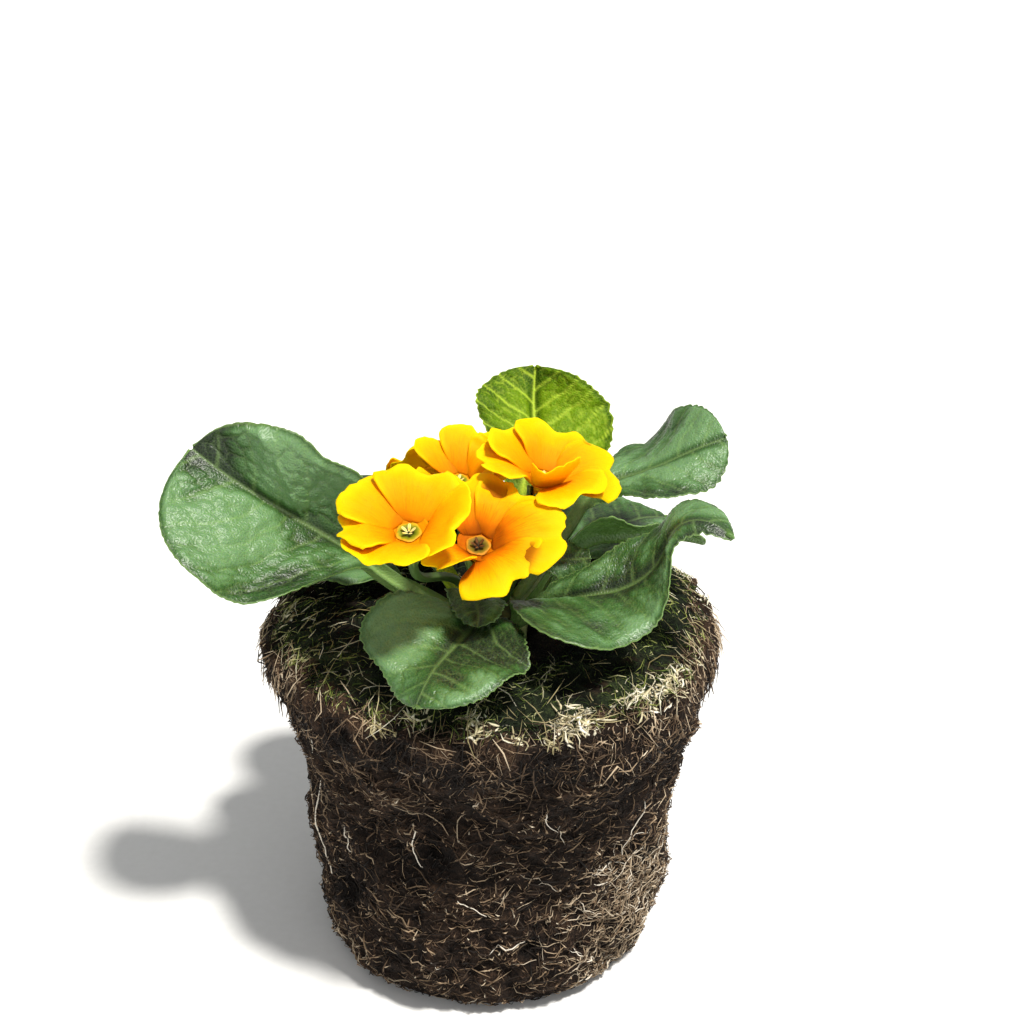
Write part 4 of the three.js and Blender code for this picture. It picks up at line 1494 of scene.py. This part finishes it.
@dataclass
class RootBall:
    """The peat, bound by roots, in the shape of the pot that it grew in."""

    rings: int = 124
    sides: int = 260
    lump: float = 1.1
    outline: list[tuple[float, float]] = field(
        default_factory=lambda: [
            (44, 0), (47.5, 4), (49.8, 12), (50.8, 24), (50, 36), (50.5, 48), (51.5, 57), (53.6, 66),
            (57, 74), (59.2, 82), (60, 88), (59, 93), (54, 95.5), (38, 96), (25, 95.6), (14, 95),
        ]
    )
    pits: list[tuple[float, float, float]] = field(
        default_factory=lambda: [
            (219, 30, 5.5), (254, 53, 4.5), (284, 22, 3.5), (310, 68, 4), (40, 40, 5), (130, 60, 5),
        ]
    )
    litter: list[Litter] = field(
        default_factory=lambda: [
            Litter("peat_fibres", FIBRE, "peat", 7000, (2, 13), (0.09, 0.28), (1.5, 84), 51, curl=0.4),
            Litter("peat_bits", BITS, "peat", 9600, (1.0, 3.9), (0.09, 0.3), (1.5, 84), 53, rings=3),
            Litter(
                "pale_roots", ROOT, "peat", 820, (4, 16), (0.1, 0.22), (2, 80), 52, curl=1.2, rings=7,
                gathered=0.7,
            ),
        ]
    )

    def bulge(self, angle: np.ndarray, height: np.ndarray) -> np.ndarray:
        """How far the peat stands out beyond its outline.

        Args:
            angle: Where round the ball, in radians.
            height: How high.

        Returns:
            Millimetres at each place.
        """
        broad = np.sin(3 * angle + height / 17) + 0.7 * np.sin(5 * angle - height / 11 + 1.3)
        fine = 0.6 * np.sin(11 * angle + height / 6) + 0.5 * np.sin(8 * angle - height / 4.5 + 2)
        belt = np.clip((height - 45) / 42, 0, 1)
        flare = 1.9 * np.cos(angle - 0.3) * np.sin(math.pi * belt)
        lean = 1.4 * np.cos(angle) * eased(60, 84, height)
        return self.lump * (broad + fine) * np.clip(height / 8, 0, 1) + flare + lean

    def crumbs(self, points: np.ndarray) -> np.ndarray:
        """How far the crumbs stand out.

        Args:
            points: Places on the face.

        Returns:
            Millimetres at each place.
        """
        mottle = Mottle(41)
        coarse = np.abs(mottle.at(points, 7.0)) * 1.0
        middle = mottle.at(points, 3.1) * 0.6
        fine = mottle.at(points, 1.5) * 0.55
        height = coarse + middle + fine - 0.6
        for heading, level, size in self.pits:
            spot = direction(heading, 0) * 50 + UP * level
            gap = np.linalg.norm((points - spot) * np.array([1, 1, 1.3]), axis=-1)
            height = height - 3.4 * np.exp(-((gap / size) ** 2))
        return height

    def face(self, angle: np.ndarray, height: np.ndarray) -> np.ndarray:
        """Points on the side of the ball without its crumbs.

        Args:
            angle: Where round the ball, in radians.
            height: How high.

        Returns:
            The points.
        """
        radii, heights = np.array(self.outline[SIDE], dtype=float).T
        radius = np.interp(height, heights, radii) + self.bulge(angle, height)
        return around(radius, angle, height)

    def build(self) -> None:
        """Builds the peat and the strands that bind it."""
        self.peat()
        for litter in self.litter:
            self.bind(litter)
        self.long_roots()

    def peat(self) -> None:
        """Builds the crumbly skin of the ball, down into the hole for the crown."""
        skin = Globe(self.rings, self.sides)
        pit = CROWN_HEIGHT - CROWN_DEPTH - CLEARANCE
        hole = [(0.0, pit), (CROWN_REACH, pit), (CROWN_REACH + CLEARANCE, CROWN_HEIGHT)]
        outline = [*hole, *self.outline[::-1], (0.0, 0.0)]
        radii, heights = np.array(outline, dtype=float).T
        steps = np.hypot(np.diff(radii), np.diff(heights))
        steps[:3] *= 0.15
        steps[3:6] *= 0.35
        steps[-1] *= 0.25
        places = np.concatenate([[0], np.cumsum(steps)]) / steps.sum()
        radius = np.interp(skin.share, places, radii)
        height = np.interp(skin.share, places, heights)
        out = np.clip((radius - 30) / 20, 0, 1)
        radius = radius + out * self.bulge(skin.turn, height)
        spots = around(radius, skin.turn, height)
        crumbs = self.crumbs(spots)
        side = eased(0.2, 4.0, height) * np.clip((radius - 14) / 8, 0, 1)
        level = eased(88.0, 95.0, height)
        spots = spots + around(crumbs * side * (1 - level), skin.turn, 0.4 * crumbs * side * level)
        skin.place(spots)
        # Painted shade in the hollows between crumbs.
        skin.paint("relief", np.clip(0.45 + crumbs * 0.3, 0, 1))
        skin.paint("green", np.zeros(len(crumbs)))
        piece("root_ball_peat", [skin], known(PEAT), ["root_ball"])

    def bind(self, litter: Litter) -> None:
        """Lays short strands over the side of the ball, half sunk in it.

        Args:
            litter: The kind of strands.
        """
        rng = np.random.default_rng(litter.seed)
        count, rings = litter.count, litter.rings
        start = rng.uniform(0, 2 * math.pi, count)
        height = rng.uniform(*litter.zone, count)
        pick = rng.uniform(0, 1, count) < litter.gathered
        start = np.where(pick, rng.normal(math.radians(322), 0.22, count), start)
        height = np.where(pick, rng.uniform(3, 42, count), height)
        length = litter.drawn_lengths(rng, 1.6)
        way = rng.normal(0, 0.85, count)
        turn = rng.choice([-1.0, 1.0], count)
        bend = rng.normal(0, litter.curl, count)
        step = np.linspace(-0.5, 0.5, rings)
        slope = way[:, None] + bend[:, None] * step + rng.normal(0, 0.3 * litter.curl, (count, rings))
        ahead = np.cumsum(np.cos(slope) * turn[:, None], axis=1) * length[:, None] / rings
        rise = np.cumsum(np.sin(slope), axis=1) * length[:, None] / rings
        high = np.clip(height[:, None] + rise, 0.6, 91)
        angle = start[:, None] + ahead / 50
        points = self.face(angle, high)
        hump = rng.uniform(0.0, 0.9, count)[:, None] * np.cos(math.pi * step)[None, :]
        crumbs = self.crumbs(points)
        proud = crumbs + 0.12 + hump + rng.normal(0, 0.2, (count, rings))
        points = points + around(proud, angle, 0)
        lean = around(1, start, 0)
        # Strands lying in hollows of the peat are painted darker as shade.
        tints = rng.beta(1.0, 1.9, count) + 0.22 * crumbs[:, 0]
        litter.piece(points, lean, tints, rng)

    def long_roots(self) -> None:
        """Lays the few long white roots that run down the face.

        Each row of the runs gives the angle in degrees and the height of its first end, the same of its
        last end, and its radius.
        """
        runs = np.array(
            [
                (202, 60, 210, 27, 0.26), (220, 52, 222, 42, 0.2), (247, 60, 249, 47, 0.2),
                (262, 40, 270, 34, 0.14), (285, 71, 291, 60, 0.16), (322, 60, 317, 40, 0.18),
                (20, 55, 28, 30, 0.22), (95, 60, 90, 38, 0.2), (150, 48, 161, 34, 0.2),
            ]
        )
        rings = 14
        step = np.linspace(0, 1, rings)[None, :]
        first, high, last, low, radius = (runs[:, column : column + 1] for column in range(5))
        angle = np.radians(first + (last - first) * step + 1.2 * np.sin(5 * step + first))
        height = high + (low - high) * step
        points = self.face(angle, height)
        proud = 0.75 * self.crumbs(points) + 0.7 - 1.4 * np.abs(2 * step - 1) ** 6
        points = points + around(proud, angle, 0)
        tubes = Tubes(rings, 6, len(runs))
        middle = angle[:, rings // 2]
        lean = around(1, middle, 0)
        tubes.follow(points, radius * (1 - 0.4 * step), lean)
        tubes.paint("tint", np.full(len(tubes.copy), 0.92))
        piece("long_white_roots", [tubes], known(ROOT), [])


@dataclass
class MossCollar:
    """The mat of moss, dead grass and straw on the shoulder of the root ball."""

    ball: RootBall
    sections: int = 320
    sides: int = 40
    thickness: float = 1.9
    lump: float = 2.8
    litter: list[Litter] = field(
        default_factory=lambda: [
            Litter(
                "edge_fibres", FIBRE, "moss", 3600, (2, 10), (0.1, 0.28), (0, 0.62), 70, 0.45, 0.4, rings=3,
            ),
            Litter("edge_bits", BITS, "moss", 3000, (1, 3.4), (0.1, 0.3), (0, 0.6), 74, 0.6, rings=3),
            Litter(
                "moss_strands", MOSS_STRAND, "moss", 7400, (1, 5.5), (0.08, 0.24), (0.46, 1), 71, 0.9, 0.4,
                rings=3,
            ),
            Litter("straw_bits", STRAW, "moss", 620, (3, 15), (0.1, 0.22), (0.46, 1), 72, 0.25),
            Litter(
                "cream_scraps", CREAM, "moss", 560, (1.2, 6), (0.16, 0.7), (0.42, 0.66), 73, 0.6, 0.4, 0.5,
                gathered=0.7, clumps=34,
            ),
        ]
    )

    def frame(self, angle: np.ndarray, share: np.ndarray) -> tuple[np.ndarray, np.ndarray]:
        """The face of the mat.

        Args:
            angle: Where round the ball, in radians.
            share: From 0 at its lower edge to 1 at its inner edge.

        Returns:
            Points on the peat below it, and the way that the mat stands out there.
        """
        radii, heights = np.array(self.ball.outline[SHOULDER], dtype=float).T
        places = np.linspace(0, 1, len(radii))
        radius, height = np.interp(share, places, radii), np.interp(share, places, heights)
        radius = radius + np.clip((radius - 30) / 20, 0, 1) * self.ball.bulge(angle, height)
        tilt = math.pi / 2 * share
        return around(radius, angle, height), around(np.cos(tilt), angle, np.sin(tilt))

    def depth(self, points: np.ndarray, share: np.ndarray) -> np.ndarray:
        """How thick the mat is.

        Args:
            points: Places on the peat below it.
            share: From 0 at its lower edge to 1 at its inner edge.

        Returns:
            Millimetres at each place.
        """
        mottle = Mottle(61)
        tuft = np.clip(0.45 + 0.55 * mottle.at(points, 6.0) + 0.3 * mottle.at(points, 2.6), 0, 1)
        body = self.thickness + self.lump * tuft**1.3 + 0.7 * mottle.at(points, 1.7)
        return np.maximum(0.3, body) * np.sin(math.pi * (0.1 + 0.8 * share))

    def build(self) -> None:
        """Builds the mat, its strands and the straw in it."""
        ring = Ring(self.sections, self.sides)
        outer = ring.share < 0.5
        share = np.where(outer, ring.share * 2, 2 - ring.share * 2)
        points, way = self.frame(ring.turn, share)
        depth = self.depth(points, share)
        lift = np.where(outer, 0.5 + depth, 0.12)
        ring.place(points + way * lift[:, None])
        # Painted shade where the mat is thin, between its tufts.
        ring.paint("relief", np.clip((depth - 1.0) / 3.4, 0, 1))
        patch = Mottle(62).at(points, 13.0)
        ring.paint("green", np.clip(eased(0.5, 0.64, share) * (0.75 + 0.5 * patch), 0, 1))
        piece("moss_mat", [ring], known(MOSS), ["moss_collar"])
        for litter in self.litter:
            self.strew(litter)

    def strew(self, litter: Litter) -> None:
        """Lays bent strands on the mat.

        Args:
            litter: The kind of strands.
        """
        rng = np.random.default_rng(litter.seed)
        count = litter.count
        angle = rng.uniform(0, 2 * math.pi, count)
        pick = rng.uniform(0, 1, count) < litter.gathered
        angle = np.where(pick, rng.normal(math.radians(306), 0.42, count), angle)
        low, high = litter.zone
        share = low + (high - low) * rng.beta(1.1, 1.5, count)
        if litter.clumps:
            clump = rng.integers(0, litter.clumps, count)
            angle = angle[clump] + rng.normal(0, 0.045, count)
            share = np.clip(share[clump] + rng.normal(0, 0.025, count), low, high)
        root, way = self.frame(angle, share)
        depth = self.depth(root, share)
        root = root + way * (0.45 + depth * 0.95)[:, None]
        length = litter.drawn_lengths(rng, 1.5)
        side = unit(rng.normal(0, 1, (count, 3)))
        side = unit(side - way * np.sum(side * way, axis=1, keepdims=True))
        other = np.cross(way, side)
        pitch = rng.uniform(0.0, 1.0, count) ** 1.5 * litter.stand
        step = np.linspace(-0.5, 0.5, litter.rings)[None, :]
        curl = rng.normal(0, litter.curl, count)
        hump = rng.uniform(0.0, 0.12, count)
        along = step * length[:, None]
        sway = (step**2 - 0.1) * (curl * length)[:, None] * 2 + rng.normal(0, 0.12, (count, litter.rings))
        rise = (0.25 - step**2) * (hump * length)[:, None] * 4
        rise = rise + (step + 0.3) * (pitch * length * 0.7)[:, None]
        paths = root[:, None] + side[:, None] * along[..., None] + other[:, None] * sway[..., None]
        paths = paths + way[:, None] * rise[..., None]
        brown = 0.25 * Mottle(62).at(root, 13.0)
        # Strands on thin parts of the mat are painted darker as shade; the brown patches vary at random.
        tints = rng.beta(1.1, 1.9, count) + 0.12 * (depth - 2.5) + brown
        litter.piece(paths, way, tints, rng)


@dataclass
class Crown:
    """The short stock that carries leaves and flower stalks."""

    radius: float = CROWN_RADIUS
    depth: float = CROWN_DEPTH

    def build(self) -> None:
        """Builds the crown, scarred and lumpy on its domed head."""
        body = Globe(40, 64)
        bottom = CROWN_HEIGHT - self.depth
        turns = np.linspace(0, 1.57, 12)
        dome = list(zip(self.radius * np.sin(turns), CROWN_HEIGHT + self.radius * np.cos(turns)))
        stock = [(self.radius - 0.3, 90.0), (self.radius - 0.8, 86.0), (self.radius - 1, bottom)]
        outline = [*dome, *stock, (0, bottom)]
        radius, height = body.turned(outline)
        spots = around(radius, body.turn, height)
        head = eased(CROWN_HEIGHT - 2, CROWN_HEIGHT + 3, height)
        lumps = Mottle(81).at(spots, 4.0) * 0.5 + np.sin(9 * body.turn + height) * 0.2
        away = unit(spots - np.array([0, 0, CROWN_HEIGHT]))
        body.place(spots + away * ((lumps - 0.5) * head)[:, None])
        body.paint("tip", np.clip(lumps + 0.2, 0, 1))
        piece("crown_stock", [body], known(CROWN_SKIN), ["crown"])


# The plant -----------------------------------------------------------------

DARK, BRIGHT = LeafKind.DARK, LeafKind.BRIGHT

# The spots listed with some leaves paint sheen and cast shadow onto their blades.
LEAVES = [
    Leaf(
        "leaf_left_large_blade", DARK, 26, 59, [183, 184, 187, 181, 156], [29, 42, 35, 36, 33],
        [2.2, 18, 32, 34], [2.2, 18, 21, 21], [-29, -55, -38], (24, 5), (34, 14), 21, 42, 1.0,
        pitch=0.6, tooth=0.25, pucker=0.75, vein_gap=9.5, ridge=(0.4, 0.42, 3.6), seed=1,
        painted_light_spots=[
            (0.6, 0.3, 0.3, 0.34), (0.98, 0.3, 0.18, -0.5), (0.1, 0.0, 0.2, -0.3), (0.4, -0.6, 0.26, 0.62),
            (0.85, -0.6, 0.3, -0.3),
        ],
    ),
    Leaf(
        "leaf_front_cupped_blade", DARK, 13, 48, [260, 268, 244, 256, 246], [32, 31, -3, 11, -36],
        [2.2, 16, 22, 21], [2.2, 18, 24, 14], [-8, -3, 17], (32, -15), (41, -20), -5, -3, 0.8,
        pitch=0.6, seed=2,
        painted_light_spots=[
            (0.3, 0.5, 0.4, -0.7), (0.15, -0.1, 0.3, -0.2), (0.68, -0.55, 0.36, 0.5), (0.9, 0.3, 0.25, 0.16),
        ],
    ),
    Leaf(
        "leaf_front_small_blade", DARK, 11, 22, [272, 262, 250, 280, 260], [50, 47, 14, 6, -34],
        [2.2, 7, 7, 7], [2.2, 10, 7, 6], [0, 0, 18], (6, -1), (22, 5), -13, -24, 0.4,
        pitch=0.5, vein_gap=4.5, seed=3,
    ),
    Leaf(
        "leaf_right_folded_blade", DARK, 8, 71, [319, 324, 352, 339, 327], [36, 36, 14, 79, -48],
        [3, 9, 13, 14], [8, 31, 18, 6], [-15, 16, -1], (66, -18), (29, -38), -7, -8, 0.8,
        pitch=0.6, seed=4,
        painted_light_spots=[(0.35, -0.3, 0.6, -0.6), (0.95, 0.0, 0.2, 0.4), (0.4, -1.0, 0.2, 0.4), (0.5, 0.9, 0.3, 0.2)],
    ),
    Leaf(
        "leaf_right_small_blade", DARK, 17, 13, [344, 342, 354, 344, 340], [48, 66, 0, 12, 16],
        [3, 6, 5.5, 4], [3, 5, 5.5, 5], [10, 50, 45], (6, -8), (4, -12), -20, -20, 0.4,
        pitch=0.5, vein_gap=4.0, seed=5,
    ),
    Leaf(
        "leaf_right_dark_blade", DARK, 18, 43, [8, 14, 5, 9, 14], [33, 64, -2, -2, -25],
        [2.2, 10, 12, 8], [4, 11, 10, 6], [0, 0, 0], (0, -10), (50, 38), -8, 6, 1.0,
        pitch=0.55, vein_gap=6.5, seed=6,
    ),
    Leaf(
        "leaf_right_upper_blade", DARK, 31, 46, [28, 22, 5, -2, 1], [44, 56, 14, 28, 19],
        [2.2, 9, 24, 23], [2.2, 8, 16, 16], [30, 8, 52], (0, -12), (12, 0), -18, 0, 0.8,
        pitch=0.6, seed=7, painted_light_spots=[(0.6, 0.2, 0.6, 0.3)],
    ),
    Leaf(
        "leaf_back_bright_blade", BRIGHT, 26, 43, [55, 76, 74, 94, 80], [54, 66, 30, 36, 60],
        [2.2, 9, 15, 18], [2.2, 14, 22, 21], [4, 8, -15], (-6, 22), (-12, 20), 8, -6, 1.0,
        pitch=0.6, pucker=0.75, vein_gap=7.0, seed=8,
    ),
    Leaf(
        "leaf_back_left_blade", DARK, 20, 52, [128, 126, 124, 128, 132], [28, 24, 12, 0, -20],
        [2.2, 15, 20, 18], [2.2, 14, 20, 19], [0, 6, 10], (22, 4), (20, 4), -8, -10, 1.3, seed=9,
    ),
    Leaf(
        "leaf_side_low_blade", DARK, 18, 40, [155, 156, 160, 162, 165], [22, 12, 4, -6, -24],
        [2.2, 11, 15, 13], [2.2, 11, 15, 13], [0, -4, -6], (18, 4), (18, 4), -8, -8, 1.0, seed=10,
    ),
    Leaf(
        "leaf_back_right_blade", DARK, 20, 48, [48, 48, 46, 42, 38], [22, 12, 6, -4, -22],
        [2.2, 13, 18, 16], [2.2, 13, 18, 16], [0, 4, 6], (20, 4), (20, 4), -10, -10, 1.2, seed=11,
    ),
    Leaf(
        "leaf_back_middle_blade", DARK, 20, 48, [92, 90, 90, 92, 94], [22, 14, 6, -6, -26],
        [2.2, 14, 18, 16], [2.2, 14, 18, 16], [0, 0, 0], (20, 4), (20, 4), -10, -10, 1.2, seed=12,
    ),
    Leaf(
        "leaf_heart_bright_blade", BRIGHT, 12, 26, [150, 150, 148, 140, 134], [48, 56, 50, 30, 0],
        [2.2, 8, 10, 8], [2.2, 8, 10, 8], [0, 0, 0], (24, 8), (24, 8), 10, 10, 0.6,
        vein_gap=5.0, seed=13,
    ),
]

FLOWERS = [
    Flower(
        "flower_front_left", (-19, -37, 142), (262, 68), 1.5, (215, 66),
        [
            Petal(84, 18, 11.5, curl=-0.8, notch=3.4), Petal(-14, 16, 11, curl=1.2, roll=1.4),
            Petal(-106, 18, 12, curl=0.8, roll=0.8), Petal(146, 18.5, 11, curl=-0.6),
            Petal(196, 18, 10, curl=-0.5),
        ],
        seed=1,
    ),
    Flower(
        "flower_front_right", (-2, -25, 132.5), (276, 64), 1.3, (275, 66),
        [
            Petal(97, 21, 11, roll=1.0), Petal(46, 19.5, 10, -1.5), Petal(-4, 23, 11, -2, curl=-0.6),
            Petal(-60, 17.5, 13, -2, curl=-1.0, notch=2.8), Petal(-140, 17, 7, 1, roll=3.4),
        ],
        aged=True, seed=2,
    ),
    Flower(
        "flower_right", (15, -4, 142), (310, 72), 1.4, (340, 66),
        [
            Petal(97, 18, 11, curl=1.0), Petal(43, 18, 11, curl=0.8), Petal(-24, 21.5, 11.5, -4, curl=-0.5),
            Petal(-92, 18, 11, 1, curl=-0.6), Petal(152, 19, 9.5, roll=0.8),
            Petal(-118, 9, 6.5, 6, curl=1.5, roll=1.2, notch=0.8),
        ],
        seed=3,
    ),
    Flower(
        "flower_left_back", (-8, 3, 138), (262, 76), 1.5, (130, 66),
        [
            Petal(118, 15, 8.5, curl=0.6), Petal(75, 17, 9.5, curl=0.6), Petal(30, 15, 9, curl=0.6),
            Petal(-45, 11, 8), Petal(-140, 11, 8),
        ],
        seed=4,
    ),
    Flower(
        "flower_back", (-14, 27, 131), (118, 52), 1.2, (90, 66),
        [Petal(95, 15, 10), Petal(22, 15, 10), Petal(-50, 15, 10), Petal(-122, 15, 10), Petal(166, 15, 10)],
        seed=5,
    ),
]


# Studio --------------------------------------------------------------------


@dataclass
class Studio:
    """A plain pale floor, soft lights and the camera, in metres and degrees."""

    floor_size: float = 30.0
    key_power: float = 4.2
    key_softness: float = 7.0
    key_way: tuple[float, float, float] = (-0.3, 0.3, -1.0)
    fill_power: float = 2.0
    fill_size: float = 0.9
    fill_way: tuple[float, float, float] = (-0.2, 1.0, -0.4)
    fill_place: tuple[float, float, float] = (0.25, -1.2, 0.55)
    sky: float = 0.42
    lens: float = 63.0
    sensor: float = 36.0
    eye: tuple[float, float, float] = (0.0067, -0.4386, 0.3349)
    tilt: float = 65.0

    def floor(self) -> None:
        """Lays the floor."""
        bm = bmesh.new()
        bmesh.ops.create_grid(bm, x_segments=1, y_segments=1, size=self.floor_size / 2)
        mesh = bpy.data.meshes.new("floor")
        bm.to_mesh(mesh)
        bm.free()
        made = bpy.data.objects.new("floor", mesh)
        bpy.context.scene.collection.objects.link(made)
        material, paint, shader = new_material("floor_paper")
        grain = paint.noise(paint.places(), 400.0, 2, 0.5)
        paper = paint.mix(grain, colour(238, 238, 236), colour(246, 246, 245))
        paint.dress(shader, {"Base Color": paper, "Roughness": 0.9})
        mesh.materials.append(material)

    def lamp(self, name: str, kind: str, way: tuple[float, float, float], tone: tuple) -> bpy.types.Object:
        """Adds one lamp.

        Args:
            name: Its name.
            kind: Its type.
            way: The way that its light goes.
            tone: Its colour.

        Returns:
            The lamp, standing at the origin.
        """
        light = bpy.data.lights.new(name, kind)
        light.color = tone
        made = bpy.data.objects.new(name, light)
        bpy.context.scene.collection.objects.link(made)
        made.rotation_euler = Vector(way).to_track_quat("-Z", "Y").to_euler()
        return made

    def build(self) -> None:
        """Sets up floor, lights, sky and camera."""
        self.floor()
        key = self.lamp("key", "SUN", self.key_way, (1.0, 0.97, 0.92))
        key.data.energy, key.data.angle = self.key_power, math.radians(self.key_softness)
        fill = self.lamp("front_fill", "AREA", self.fill_way, (0.94, 0.97, 1.0))
        fill.location = self.fill_place
        fill.data.size, fill.data.energy = self.fill_size, self.fill_power
        world = bpy.data.worlds.new("sky")
        world.use_nodes = True
        back = world.node_tree.nodes["Background"]
        back.inputs["Color"].default_value = (1.0, 1.0, 1.0, 1.0)
        back.inputs["Strength"].default_value = self.sky
        bpy.context.scene.world = world
        bpy.context.scene.view_settings.view_transform = "Standard"
        lens = bpy.data.cameras.new("camera")
        lens.lens, lens.sensor_width = self.lens, self.sensor
        made = bpy.data.objects.new("camera", lens)
        bpy.context.scene.collection.objects.link(made)
        made.location = self.eye
        made.rotation_euler = (math.radians(self.tilt), 0, 0)
        bpy.context.scene.camera = made


def main() -> None:
    """Builds the studio and every piece of the plant, and notes their size."""
    logging.basicConfig(level=logging.INFO, format="%(name)s: %(message)s")
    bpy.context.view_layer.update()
    Studio().build()
    ball = RootBall()
    for part in (ball, MossCollar(ball), Crown(), *LEAVES, *FLOWERS):
        part.build()
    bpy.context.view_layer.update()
    LOG.info("sizes written")


if __name__ == "__main__":
    main()
